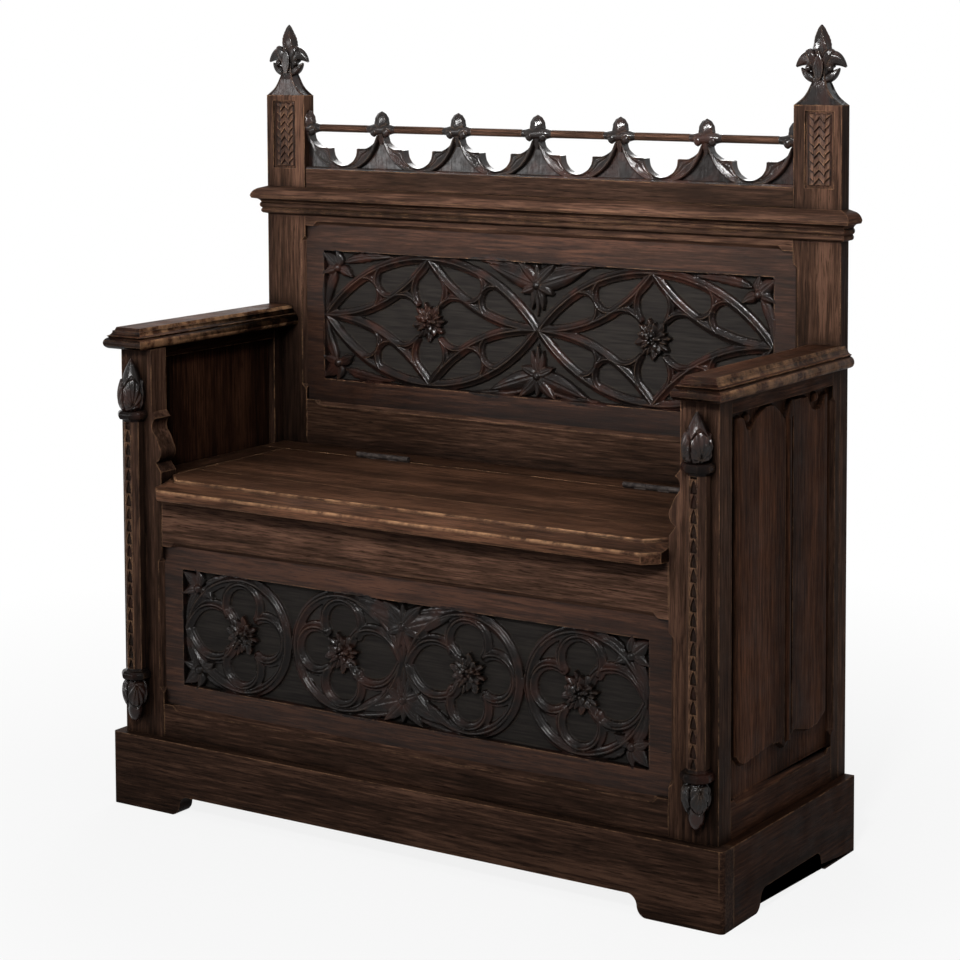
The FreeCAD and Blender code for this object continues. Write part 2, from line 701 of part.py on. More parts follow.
lower_groove_z = (plinth_top + size("front_bottom_rail") - tongue, seat_top - size("seat_rail_drop") + tongue)
lower_board_y = (back_y - size("back_board") - 4, back_y - 4)
lower_groove = grown((-rear_inner - tongue, rear_inner + tongue), lower_board_y, lower_groove_z, gap)
seat_rail, seat_mortises = rail(back_span, back_depth, (seat_top - size("seat_rail_drop"), back_low),
                                back_tenon_y, [back_groove, back_chamfers["low"], lower_groove])
node("back_seat_rail", seat_rail)
foot_rail, foot_mortises = rail(back_span, back_depth, (plinth_top, front_low), back_tenon_y, [lower_groove])
node("back_bottom_rail", foot_rail)
node("lower_back_board", box((-rear_inner - tongue, rear_inner + tongue), lower_board_y, lower_groove_z))
crest_y = (back_face_y + size("crest_setback"), back_face_y + size("crest_setback") + size("gallery_thick"))
gallery_y = (crest_y[0] + crest_y[1]) / 2
rail_z = crest_top + size("gallery_rail_level")
carved_low = crest_top
carved_high = shoulder_z - 9
dowel_y = (back_y + back_face_y) / 2
for side, name in SIDES:
    blank = box(span(side, rear_inner, half_case), back_depth, (plinth_top, shoulder_z))
    mortise = 0 if side < 0 else 1
    sinking = box(span(side, rear_inner + size("rear_post_face") * 0.24, half_case - size("rear_post_face") * 0.17),
                  (back_face_y, back_face_y + 2.5), (carved_low, carved_high))
    middle = (rear_inner + half_case) / 2 * side
    rail_end = 6
    socket_x = span(side, rear_inner, rear_inner + rail_end)[0]
    socket = cylinder(size("gallery_rail_radius") + gap, dim(rail_end) + 1, socket_x - (1 if side > 0 else 0),
                      gallery_y, rail_z, (1, 0, 0))
    dowel_hole = cylinder(size("dowel_radius") + gap, size("dowel_length") + 1, middle, dowel_y,
                          shoulder_z - size("dowel_length"), (0, 0, 1))
    node(f"rear_post_{name}", cut(blank, [
        back_groove, lower_groove, back_chamfers[name], top_mortises[mortise], seat_mortises[mortise],
        foot_mortises[mortise], sinking, socket, dowel_hole]))
back_field_span = (back_low + size("back_field_low"), back_high - size("back_field_high"))
back_field = (rear_inner - size("back_field_side"), (back_field_span[1] - back_field_span[0]) / 2)
back_field_z = (back_field_span[0] + back_field_span[1]) / 2
back_body = box((panel_gap - rear_inner, rear_inner - panel_gap), (back_panel_face, back_panel_back),
                (back_low + panel_gap, back_high - panel_gap))
back_tongue = box((-rear_inner - tongue, rear_inner + tongue), back_tongue_y,
                  (back_low - tongue, back_high + tongue))
back_ground_y = back_panel_face + size("field_depth")
back_sinking = box((-back_field[0], back_field[0]), (back_panel_face, back_ground_y),
                   (back_field_z - back_field[1], back_field_z + back_field[1]))
node("back_panel", cut(fuse([back_body, back_tongue]), [back_sinking]))


def vesica(centre, reach, half_height, rib):
    """A pointed oval holding a four-pointed star with hollow sides and cusps."""
    tip = reach - rib * 0.3
    top = half_height - rib / 2
    sweep = (tip * tip + top * top) / (2 * top)
    faces = []
    for up in (-1, 1):
        crown = centre + vector(0, up * top)
        for out in (-1, 1):
            end = centre + vector(out * tip, 0)
            faces.append(arc_through(centre + vector(0, up * (top - sweep)), crown, end, rib))
            hollow = centre + vector(out * tip, up * sweep)
            faces.append(arc_through(hollow, end, crown, rib))
            inward = (centre - hollow).normalize()
            faces.append(spur(hollow + inward * sweep, inward, rib, 3.6))
            rim = centre + vector(0, up * (top - sweep))
            toward = (rim - hollow).normalize()
            faces.append(spur(hollow + toward * sweep, -toward, rib, 2.4))
            faces.append(spur(rim - toward * sweep, toward, rib, 2.4))
    return faces


back_reach = float(back_field[0]) / 2
back_pieces = []
star_centres = []
for side in (-1, 1):
    centre = vector(side * back_reach, float(back_field_z))
    star_centres.append(centre)
    back_pieces += vesica(centre, back_reach, float(back_field[1]), rib)
plate = joined(back_pieces, float(size("field_depth")) - 0.3)
plate.translate(FreeCAD.Vector(0, float(back_panel_face) + 0.3, 0))
field_limit = Part.makeBox(float(back_field[0]) * 2 - inset * 2, 60, float(back_field[1]) * 2 - inset * 2,
                           FreeCAD.Vector(inset - float(back_field[0]), float(back_panel_face) - 20,
                                          float(back_field_z - back_field[1]) + inset))
node("back_tracery", feature(plate.common(field_limit)))
node("back_bosses", feature(Part.makeCompound(
    [boss(centre, float(back_ground_y)) for centre in star_centres])))


# Side panels: folded parchment, a middle rib between two wings with hooked ends
fold_y = (post_back_y + stile_y) / 2
fold_half = (stile_y - post_back_y) / 2 - size("fold_margin")
fold_low = side_low_z + size("fold_margin") * 1.8
fold_high = side_high_z - 4
fold_drop = size("fold_margin") * 1.25
for side, name in SIDES:
    base_x = span(side, side_face_x - size("side_panel_thick"), side_face_x)
    base = box(base_x, (post_back_y + panel_gap, stile_y - panel_gap),
               (side_low_z + panel_gap, side_high_z - panel_gap))
    rim = box(span(side, *side_tongue_x), (post_back_y - tongue, stile_y + tongue),
              (side_low_z - tongue, side_high_z + tongue))
    raised_x = span(side, side_face_x, side_face_x + size("fold_rise"))
    wing_parts = []
    for hand in (-1, 1):
        reach = fold_half
        points = [
            (fold_y, fold_low + fold_drop), (fold_y + reach * 0.38 * hand, fold_low),
            (fold_y + reach * 0.72 * hand, fold_low + fold_drop),
            (fold_y + reach * 0.95 * hand, fold_low + fold_drop),
            (fold_y + reach * 0.95 * hand, fold_high - fold_drop),
            (fold_y + reach * 0.72 * hand, fold_high - fold_drop),
            (fold_y + reach * 0.38 * hand, fold_high), (fold_y, fold_high - fold_drop),
        ]
        bow = fold_drop * 2.2
        turns = {1: -hand, 2: hand, 6: hand, 7: -hand}
        corners = [(p[0], p[1]) if i not in turns else (p[0], p[1], bow, turns[i]) for i, p in enumerate(points)]
        wing_parts.append(slab("YZ", corners, raised_x[0], raised_x[1]))
    fold_rib = cylinder(size("fold_rib_radius"), fold_high - fold_low, side_face_x * side, fold_y, fold_low, (0, 0, 1))
    rib_room = box(span(side, side_face_x - 1, half_case + 2), (fold_y - 20, fold_y + 20), (fold_low, fold_high))
    node(f"side_panel_{name}", fuse([base, rim] + wing_parts + [common([fold_rib, rib_room])]))


# Mouldings: a profile is a list of (distance, level) with arcs as in an outline
def along(profile, origin, direction):
    """Lay a profile out from an origin; a direction of -1 mirrors it."""
    return [(origin + c[0] * direction, c[1]) if len(c) == 2
            else (origin + c[0] * direction, c[1], c[2], c[3] * direction) for c in profile]


def backwards(profile):
    """The same profile walked the other way."""
    result = []
    for index in range(len(profile) - 1, -1, -1):
        after = profile[index + 1] if index + 1 < len(profile) else profile[index][:2]
        point = profile[index]
        if len(after) == 4:
            result.append((point[0], point[1], after[2], -after[3]))
        else:
            result.append((point[0], point[1]))
    return result


# Arm boards: a thumb moulding below, a hollow and a small square above it, on three edges
arm_top = arm_level + size("arm_thick")
arm_bead = size("arm_thick") * 0.26
arm_profile = [
    (arm_bead, arm_level), (arm_bead, arm_level + arm_bead * 2, arm_bead * 1.04, -1),
    (arm_bead * 0.7, arm_level + arm_bead * 2.3),
    (arm_bead * 1.5, arm_top - arm_bead * 0.6, arm_bead * 0.9, 1),
    (arm_bead * 1.75, arm_top - arm_bead * 0.6), (arm_bead * 2, arm_top),
]
arm_outer = half_case + size("arm_overhang")
arm_inner = arm_outer - size("arm_width")
arm_front_y = front_y - size("arm_front")
arm_end_y = back_face_y + size("arm_return")
for side, name in SIDES:
    section = along(arm_profile, -arm_outer, 1) + along(backwards(arm_profile), -arm_inner, -1)
    if side > 0:
        section = along(arm_profile, arm_inner, 1) + along(backwards(arm_profile), arm_outer, -1)
    lengthwise = slab("XZ", section, arm_front_y, arm_end_y)
    profile = along(arm_profile, arm_front_y, 1) + [(arm_end_y, arm_top), (arm_end_y, arm_level)]
    crosswise = slab("YZ", profile, *span(side, arm_inner - 1, arm_outer + 1))
    post_room = box(span(side, arm_inner - 5, half_case + gap), (back_face_y - gap, back_y + 5),
                    (arm_level - 5, arm_top + 5))
    node(f"arm_{name}", cut(common([lengthwise, crosswise]), [post_room]))

# Cornice: two beads, a hollow and a sloping top member, mitred round both posts
reach = size("cornice_reach")
rise = size("cornice_rise")
cornice_profile = [
    (0, cornice_base), (reach * 0.25, cornice_base + rise * 0.03),
    (reach * 0.3, cornice_base + rise * 0.2, rise * 0.1, 1), (reach * 0.32, cornice_base + rise * 0.22),
    (reach * 0.36, cornice_base + rise * 0.42, rise * 0.12, 1),
    (reach * 0.6, cornice_base + rise * 0.54, rise * 0.22, -1), (reach * 0.92, cornice_base + rise * 0.57),
    (reach, cornice_base + rise * 0.66), (reach * 0.5, cornice_base + rise * 0.93, rise * 0.34, 1),
    (0, cornice_top),
]
cornice_x = half_case + reach + 5
mitre_front = slab("XY", [
    (-half_case, back_face_y), (-half_case - reach * 2, back_face_y - reach * 2),
    (half_case + reach * 2, back_face_y - reach * 2), (half_case, back_face_y)], cornice_base - 5, cornice_top + 5)
front_length = slab("YZ", along(cornice_profile, back_face_y, -1), -cornice_x, cornice_x)
node("cornice_front", common([front_length, mitre_front]))
for side, name in SIDES:
    mitre = slab("XY", [
        (half_case * side, back_face_y), (half_case * side, back_y), ((half_case + reach * 2) * side, back_y),
        ((half_case + reach * 2) * side, back_face_y - reach * 2)], cornice_base - 5, cornice_top + 5)
    length = slab("XZ", along(cornice_profile, half_case * side, side), back_face_y - reach - 5, back_y)
    node(f"cornice_{name}", common([length, mitre]))

# Crest board, pierced gallery of six cusped bays, round rail through its knops
node("crest_board", box(back_span, crest_y, (cornice_top, crest_top)))
bays = 6
pitch = rear_inner * 2 / bays
tall = size("gallery_rise")


stem_top = 0.62


def bay(start, stem, lobe, step):
    """Upper edge of one bay from knop to knop; stem and lobe shape its upper hollows."""
    def at(share_x, share_z):
        return start + pitch * share_x, crest_top + tall * share_z
    return [
        at(stem, stem_top), at(stem, 0.58), at(0.28 - step, 0.375 - step * 2) + (tall * lobe, 1),
        at(0.285, 0.375), at(0.305, 0.38), at(0.315, 0.28) + (tall * 0.4, 1), at(0.5, 0.08) + (tall * 0.29, 1),
        at(0.685, 0.28) + (tall * 0.29, 1), at(0.695, 0.38) + (tall * 0.4, 1), at(0.715, 0.375),
        at(0.72 + step, 0.375 - step * 2), at(1 - stem, 0.58) + (tall * lobe, 1), at(1 - stem, stem_top),
    ]


def gallery_layer(stem, lobe, step, low_y, high_y):
    """One layer of the gallery board; the front layer has wider hollows than the back one."""
    edge = [(rear_inner, crest_top + tall * stem_top), (rear_inner, crest_top), (-rear_inner, crest_top),
            (-rear_inner, crest_top + tall * stem_top)]
    for index in range(bays):
        edge += bay(index * pitch - rear_inner, stem, lobe, step)
    return slab("XZ", edge, low_y, high_y)


def knop(index):
    """A bud on a stem of the gallery, with a collar on the rail; the first and last are halved at the posts."""
    high = float(tall)
    wide = high * 0.142
    bud = faceted(10, ((wide * 0.6, high * 0.57), (wide * 0.94, high * 0.66), (wide, high * 0.77),
                       (wide * 0.7, high * 0.91), (wide * 0.08, high)))
    reach = float(pitch) * 0.17
    collar = Part.makeCylinder(float(size("gallery_rail_radius")) * 1.35, reach * 2,
                               FreeCAD.Vector(-reach, 0, float(size("gallery_rail_level"))), FreeCAD.Vector(1, 0, 0))
    deep = float(size("gallery_thick")) - 0.6
    left = -high if index > 0 else 0
    right = high if index < bays else 0
    keep = Part.makeBox(right - left, deep, high * 2, FreeCAD.Vector(left, -deep / 2, 0))
    whole = bud.fuse(collar).common(keep)
    whole.translate(FreeCAD.Vector(float(index * pitch - rear_inner), float(gallery_y), float(crest_top)))
    return feature(whole)


layer_y = crest_y[0] + size("gallery_thick") * 0.4
board = fuse([gallery_layer(0.041, 0.38, 0.03, crest_y[0], layer_y),
              gallery_layer(0.099, 0.25, 0, layer_y, crest_y[1])]
             + [knop(index) for index in range(bays + 1)])
spandrels = []
roll = float(pitch) * 0.465
roll_z = float(crest_top) + roll
spandrel_low = float(crest_top) + 2.5
for index in range(bays + 1):
    knop_x = float(index * pitch - rear_inner)
    half = float(pitch) / 2
    block = Part.makeBox(half * 2, float(size("spandrel_depth")), roll * 0.62,
                         FreeCAD.Vector(knop_x - half, float(crest_y[0]), spandrel_low))
    for hand in (-1, 1):
        block = block.cut(Part.makeCylinder(roll, 60, FreeCAD.Vector(knop_x + half * hand, float(crest_y[0]) - 20, roll_z),
                                            FreeCAD.Vector(0, 1, 0)))
    spandrels.append(feature(block))
rail_bore = cylinder(size("gallery_rail_radius") + gap, rear_inner * 2 + 20, -rear_inner - 10, gallery_y, rail_z,
                     (1, 0, 0))
node("gallery", cut(board, spandrels + [rail_bore]))
node("gallery_rail", cylinder(size("gallery_rail_radius"), rear_inner * 2 + 10, -rear_inner - 5, gallery_y, rail_z,
                              (1, 0, 0)))


# Finials: a hollow four-sided neck, two curled leaves and a bud, on a dowel
def section(width, depth, z):
    return [FreeCAD.Vector(width / 2 * i, depth / 2 * j, z) for i, j in ((-1, -1), (1, -1), (1, 1), (-1, 1))]


def finial():
    high = float(size("finial_height"))
    wide = float(size("finial_span"))
    deep = float(size("rear_post_thick"))
    neck_shares = ((0, 1, 1), (0.04, 0.82, 1), (0.1, 0.64, 0.98), (0.17, 0.47, 0.92), (0.25, 0.34, 0.84),
                   (0.36, 0.25, 0.76))
    neck = walls([section(wide * w, deep * d, high * z) for z, w, d in neck_shares])
    leaves = []
    for hand in (-1, 1):
        root = vector(0, high * 0.36)
        curl = vector(hand * wide * 0.5, high * 0.53)
        crown = vector(hand * wide * 0.27, high * 0.68)
        edges = [Part.Arc(root, vector(hand * wide * 0.34, high * 0.42), curl).toShape(),
                 Part.Arc(curl, vector(hand * wide * 0.42, high * 0.64), crown).toShape(),
                 Part.Arc(crown, vector(hand * wide * 0.12, high * 0.6), root).toShape()]
        leaf = Part.Face(Part.Wire(edges)).extrude(FreeCAD.Vector(0, deep * 0.56, 0))
        leaf.translate(FreeCAD.Vector(0, -deep * 0.28, 0))
        leaves.append(leaf)
    bud_shares = ((0.12, 0.34), (0.12, 0.52), (0.17, 0.64), (0.2, 0.76), (0.17, 0.88), (0.02, 1))
    bud = faceted(10, [(wide * w, high * z) for w, z in bud_shares])
    limit = Part.makeBox(wide * 2, deep, high * 2, FreeCAD.Vector(-wide, -deep / 2, -high / 2))
    dowel_long = float(size("dowel_length"))
    dowel = Part.makeCylinder(float(size("dowel_radius")), dowel_long + 1, FreeCAD.Vector(0, 0, 0.5 - dowel_long))
    return neck.multiFuse(leaves + [bud]).common(limit).fuse(dowel)


for side, name in SIDES:
    shape = finial()
    shape.translate(FreeCAD.Vector(float(rear_inner + half_case) / 2 * side, float(dowel_y), float(shoulder_z)))
    node(f"finial_{name}", feature(shape))

# Pilasters: a half-octagon shaft between two collars, a bud above and a drop below
pilaster_x = half_case - size("pilaster_inset")


def half_octagon(middle, grow):
    half_face = size("pilaster_face") / 2 + grow * 0.5
    wide = half_face + size("pilaster_slant") + grow * 0.5
    deep = size("pilaster_return") + grow * 0.5
    slant = size("pilaster_slant") + grow * 0.5
    return [(middle - wide, front_y), (middle - wide, front_y - deep), (middle - half_face, front_y - deep - slant),
            (middle + half_face, front_y - deep - slant), (middle + wide, front_y - deep), (middle + wide, front_y)]


def planted(rings, x, axis_y):
    """The front half of a bud or drop, flat against the post."""
    solid = faceted(12, rings)
    solid.translate(FreeCAD.Vector(x, axis_y, 0))
    keep = Part.makeBox(200, 100, 2000, FreeCAD.Vector(x - 100, float(front_y) - 100, 0))
    return solid.common(keep)


for side, name in SIDES:
    middle = pilaster_x * side
    flare = size("collar_flare")
    low = plinth_top + size("pilaster_low")
    high = arm_level - size("pilaster_high") + (size("pilaster_skew") if side > 0 else 0)
    shaft = slab("XY", half_octagon(middle, 0), low, high)
    collars = []
    for level in (low - size("collar_height"), high):
        base = slab("XY", half_octagon(middle, flare * 0.6), level, level + size("collar_height"))
        swell = slab("XY", half_octagon(middle, flare), level + size("collar_height") * 0.25,
                     level + size("collar_height") * 0.75)
        collars += [base, swell]
    wide = float(size("pilaster_face")) * 1.62
    x = float(middle)
    axis_y = float(front_y) - float(size("pilaster_return")) * 0.8
    drop_top = float(low - size("collar_height"))
    drop = float(size("drop_height"))
    drop_shares = ((0.2, 0), (0.55, 0.22), (0.8, 0.55), (0.86, 0.8), (0.66, 1))
    pendant = planted([(wide * w, drop_top + drop * (z - 1)) for w, z in drop_shares], x, axis_y)
    node(f"pilaster_{name}", fuse([shaft] + collars + [feature(pendant)]))
    bud_low = float(high + size("collar_height"))
    bud = float(arm_level - size("bud_gap")) - bud_low
    bud_shares = ((0.66, 0), (0.98, 0.2), (0.94, 0.42), (0.8, 0.62), (0.5, 0.82), (0.02, 1))
    node(f"pilaster_bud_{name}", feature(planted([(wide * w, bud_low + bud * z) for w, z in bud_shares], x, axis_y)))

# Box bottom and the bearers that carry the seat
node("box_bottom", box((-side_inner, side_inner), (post_back_y, back_face_y),
                       (plinth_top, plinth_top + size("bottom_board"))))
bearer = size("bearer")
lid_half = post_inner - size("lid_gap")
bearers = [box(span(side, lid_half - bearer / 2, side_inner), (post_back_y, back_face_y),
               (seat_low - bearer, seat_low)) for side, name in SIDES]
bearer_end = lid_half - bearer / 2
bearers.append(box((-bearer_end, bearer_end), (back_face_y - bearer, back_face_y), (seat_low - bearer, seat_low)))
node("seat_bearers", fuse(bearers))

# Hinges: leaf, knuckles, pin and screws
barrel = size("barrel_radius")
pin_z = seat_top + barrel + 0.3
leaf_half = size("hinge_length") / 2
leaf_gap = 0.5
knuckles = 5
knuckle_long = (size("hinge_length") - size("knuckle_gap") * (knuckles - 1)) / knuckles
screw_offsets = (-0.35, 0, 0.35)
screw_z = seat_top - size("hinge_leaf_depth") / 2
hinge_centres = [size("hinge_spacing") / 2 * side for side, name in SIDES]
edge_gap = size("lid_gap") / 2


def leaf_depth(hand, near_edge, far_edge):
    """Limits in Y on the lid side (-1) or on the fixed side (1) of the pins."""
    return (hinge_y + near_edge, hinge_y + far_edge) if hand > 0 else (hinge_y - far_edge, hinge_y - near_edge)


def screw(x, hand, slack):
    """A countersunk screw driven from the leaf into the wood beside it."""
    radius = float(size("screw_radius")) + slack
    start = FreeCAD.Vector(float(x), float(hinge_y) + leaf_gap * hand, float(screw_z))
    drive = FreeCAD.Vector(0, hand, 0)
    leaf = float(size("hinge_leaf_thick"))
    head = Part.makeCone(radius * 2, radius, leaf, start, drive)
    shank = Part.makeCylinder(radius, float(size("screw_length")) + slack - leaf, start + drive * leaf, drive)
    return head.fuse(shank)


def leaf_recess(hand):
    """Room in the edge of a board for both leaves on that side."""
    far_edge = leaf_gap + size("hinge_leaf_thick") + gap
    return [box((centre - leaf_half - gap, centre + leaf_half + gap), leaf_depth(hand, edge_gap - 1, far_edge),
                (seat_top - size("hinge_leaf_depth") - gap, seat_top + 1)) for centre in hinge_centres]


def screw_holes(hand):
    return [feature(screw(centre + size("hinge_length") * share, hand, 0.05))
            for centre in hinge_centres for share in screw_offsets]


leaves = {"fixed_leaves": [], "lid_leaves": []}
pins = []
for centre in hinge_centres:
    start = centre - leaf_half
    bore = cylinder(size("pin_radius") + size("pin_clearance"), size("hinge_length") + 4, start - 2, hinge_y, pin_z,
                    (1, 0, 0))
    for hand, leaf_name, turns in ((1, "fixed_leaves", range(0, knuckles, 2)), (-1, "lid_leaves", range(1, knuckles, 2))):
        depth = leaf_depth(hand, leaf_gap, leaf_gap + size("hinge_leaf_thick"))
        parts = [box((start, start + size("hinge_length")), depth,
                     (seat_top - size("hinge_leaf_depth"), pin_z - barrel - size("knuckle_gap")))]
        for turn in turns:
            low = start + (knuckle_long + size("knuckle_gap")) * turn
            parts.append(cylinder(barrel, knuckle_long, low, hinge_y, pin_z, (1, 0, 0)))
            parts.append(box((low, low + knuckle_long), depth, (pin_z - barrel - size("knuckle_gap") - 1, pin_z)))
        holes = [feature(screw(centre + size("hinge_length") * share, hand, 0.05)) for share in screw_offsets]
        leaves[leaf_name].append(cut(fuse(parts), [bore] + holes))
    pins.append(cylinder(size("pin_radius"), size("hinge_length"), start, hinge_y, pin_z, (1, 0, 0)))
for leaf_name, pair in leaves.items():
    node(f"hinge_{leaf_name}", fuse(pair))
node("hinge_pins", fuse(pins))
for hand, name in ((1, "case"), (-1, "lid")):
    node(f"hinge_screws_{name}", feature(Part.makeCompound(
        [screw(centre + size("hinge_length") * share, hand, 0) for centre in hinge_centres for share in screw_offsets])))

# Seat: fixed strips at the back and the sides, lid of two boards with a canted, moulded nosing
strip_front = hinge_y + edge_gap
node("seat_rear_strip", cut(box((-side_inner, side_inner), (strip_front, back_face_y), (seat_low, seat_top)),
                            leaf_recess(1) + screw_holes(1)))
for side, name in SIDES:
    node(f"seat_side_strip_{name}", box(span(side, post_inner, side_inner), (post_back_y, strip_front),
                                        (seat_low, seat_top)))
lid_back = hinge_y - edge_gap
lid_joint = nosing_y + size("lid_front_board")
node("lid_rear_board", cut(box((-lid_half, lid_half), (lid_joint, lid_back), (seat_low, seat_top)),
                           leaf_recess(-1) + screw_holes(-1)))


def nosed_board():
    """Front board of the lid; its moulding runs along the front and returns on both cants."""
    fall, run = float(size("nosing_fall")), float(size("nosing_run"))
    top, low = float(seat_top), float(seat_low)
    half, cant = float(lid_half), float(size("lid_cant"))
    front, joint = float(nosing_y), float(lid_joint)
    side_y = front + float(size("seat_overhang")) - 1
    deep = 2 * half

    def edge_solid(point, direction, inward):
        """Everything behind one moulded edge that passes through a point."""
        def at(distance, z):
            return point + inward * distance + FreeCAD.Vector(0, 0, z)
        edges = [Part.makeLine(at(0, low), at(0, top - fall)),
                 Part.Arc(at(0, top - fall), at(run * 0.22, top - fall * 0.82), at(run * 0.42, top - fall * 0.55)).toShape(),
                 Part.Arc(at(run * 0.42, top - fall * 0.55), at(run * 0.68, top - fall * 0.3),
                          at(run * 0.8, top - fall * 0.12)).toShape(),
                 Part.makeLine(at(run * 0.8, top - fall * 0.12), at(run * 0.86, top)),
                 Part.makeLine(at(run * 0.86, top), at(deep, top)),
                 Part.makeLine(at(deep, top), at(deep, low)), Part.makeLine(at(deep, low), at(0, low))]
        solid = Part.Face(Part.Wire(edges)).extrude(direction * deep * 2)
        solid.translate(direction * -deep)
        return solid

    plan = Part.makeBox(half * 2, joint - front, top - low, FreeCAD.Vector(-half, front, low))
    board = plan.common(edge_solid(FreeCAD.Vector(0, front, 0), FreeCAD.Vector(1, 0, 0), FreeCAD.Vector(0, 1, 0)))
    for hand in (-1, 1):
        first = FreeCAD.Vector((half - cant) * hand, front, 0)
        last = FreeCAD.Vector(half * hand, side_y, 0)
        direction = (last - first).normalize()
        inward = FreeCAD.Vector(-direction.y, direction.x, 0) * hand
        board = board.common(edge_solid(first, direction, inward))
    return board


node("lid_front_board", feature(nosed_board()))
battens = []
for side, name in SIDES:
    middle = size("hinge_spacing") / 2 * side
    half = size("batten_width") / 2
    battens.append(box((middle - half, middle + half), (post_back_y + bearer, lid_back - bearer),
                       (seat_low - size("batten_thick"), seat_low)))
node("lid_battens", fuse(battens))

doc.recompute()
for thing in doc.Objects:
    if "Invalid" in thing.State or "Error" in thing.State:
        raise RuntimeError(f"{thing.Label} did not recompute: {thing.State}")
os.makedirs("parts", exist_ok=True)
for label, thing in nodes.items():
    if thing.Shape.isNull() or not thing.Shape.isValid():
        raise RuntimeError(f"{label} has no valid shape")
for label, thing in nodes.items():
    thing.Shape.exportStep(f"parts/{label}.step")
    print(label, len(thing.Shape.Solids), round(thing.Shape.Volume))
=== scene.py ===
import math

import bmesh
import bpy
import numpy as np
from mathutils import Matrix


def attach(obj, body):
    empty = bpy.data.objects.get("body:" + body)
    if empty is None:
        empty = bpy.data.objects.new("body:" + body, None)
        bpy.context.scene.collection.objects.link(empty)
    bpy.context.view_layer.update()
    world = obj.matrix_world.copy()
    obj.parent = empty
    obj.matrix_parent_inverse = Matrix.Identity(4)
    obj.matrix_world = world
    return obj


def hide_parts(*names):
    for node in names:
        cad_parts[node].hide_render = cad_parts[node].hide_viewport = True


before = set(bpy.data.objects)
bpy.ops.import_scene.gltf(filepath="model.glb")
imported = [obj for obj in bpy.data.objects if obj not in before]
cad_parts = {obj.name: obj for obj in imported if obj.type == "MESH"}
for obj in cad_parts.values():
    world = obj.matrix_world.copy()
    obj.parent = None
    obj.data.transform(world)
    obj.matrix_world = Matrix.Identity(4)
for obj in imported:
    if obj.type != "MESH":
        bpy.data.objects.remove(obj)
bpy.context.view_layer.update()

MM = 0.001
LID_NODES = ("lid_rear_board", "lid_front_board", "lid_battens", "hinge_lid_leaves", "hinge_screws_lid")
SIDES = ((-1, "left"), (1, "right"))
X_AXIS, Y_AXIS, Z_AXIS = 0, 1, 2


def srgb(red, green, blue):
    """A colour written as screen values, turned into the linear values that nodes use."""
    shares = [value / 255 for value in (red, green, blue)]
    linear = [share / 12.92 if share <= 0.04045 else ((share + 0.055) / 1.055) ** 2.4 for share in shares]
    return (*linear, 1)


# Materials
def add_node(tree, kind, values=None, **settings):
    """One shader node; values are by socket name or number, and a socket as a value is linked."""
    made = tree.nodes.new("ShaderNode" + kind)
    for key, value in settings.items():
        setattr(made, key, value)
    for key, value in (values or {}).items():
        if isinstance(value, bpy.types.NodeSocket):
            tree.links.new(value, made.inputs[key])
        else:
            made.inputs[key].default_value = value
    return made


def math_node(tree, operation, first, second=0.0):
    return add_node(tree, "Math", {0: first, 1: second}, operation=operation).outputs[0]


def spread(tree, value, low, high, to_low=0.0, to_high=1.0):
    """The value moved from the range low to high into another range, and kept inside it."""
    return add_node(tree, "MapRange", {"Value": value, "From Min": low, "From Max": high, "To Min": to_low,
                                       "To Max": to_high}).outputs["Result"]


def blend_colour(tree, share, first, second, how="MIX"):
    made = add_node(tree, "Mix", {0: share, 6: first, 7: second}, data_type="RGBA", blend_type=how)
    return made.outputs[2]


def grey(tree, value):
    return add_node(tree, "CombineColor", {0: value, 1: value, 2: value}).outputs[0]


def colour_ramp(tree, value, stops):
    """Colours along a value; each stop is a place and a colour, the lowest first."""
    made = add_node(tree, "ValToRGB", {0: value})
    elements = made.color_ramp.elements
    for index, (place, colour) in ((0, stops[0]), (1, stops[-1])):
        elements[index].position = place
        elements[index].color = colour
    for place, colour in stops[1:-1]:
        elements.new(place).color = colour
    return made.outputs[0]


def seen_plainly(tree):
    """One for the camera, for reflections and for transmission, and zero for the light itself."""
    path = add_node(tree, "LightPath").outputs
    indirect = math_node(tree, "MAXIMUM", path["Is Glossy Ray"], path["Is Transmission Ray"])
    return math_node(tree, "MAXIMUM", path["Is Camera Ray"], indirect)


def new_material(name):
    material = bpy.data.materials.new(name)
    material.use_nodes = True
    tree = material.node_tree
    tree.nodes.clear()
    return material, tree


OAK_DARK = srgb(30, 21, 16)
OAK_MIDDLE = srgb(53, 37, 29)
OAK_LIGHT = srgb(86, 62, 49)
OAK_WORN = srgb(150, 114, 84)
OAK_PORE = srgb(18, 11, 8)
CARVED_DARK = srgb(16, 13, 12)
CARVED_RED = srgb(41, 23, 18)
CARVED_GROUND = srgb(30, 27, 24)
GRAIN_STRETCH = 0.05
BROAD_SHARE = 0.42
FINE_SHARE = 0.58
DEEP_REACH = 0.4
NEAR_REACH = 0.02
EDGE_RADIUS = 0.0028
CARVED_WEAR = 0.25
NOT_CARVED, ALL_CARVED, MARKED = 0, 1, 2


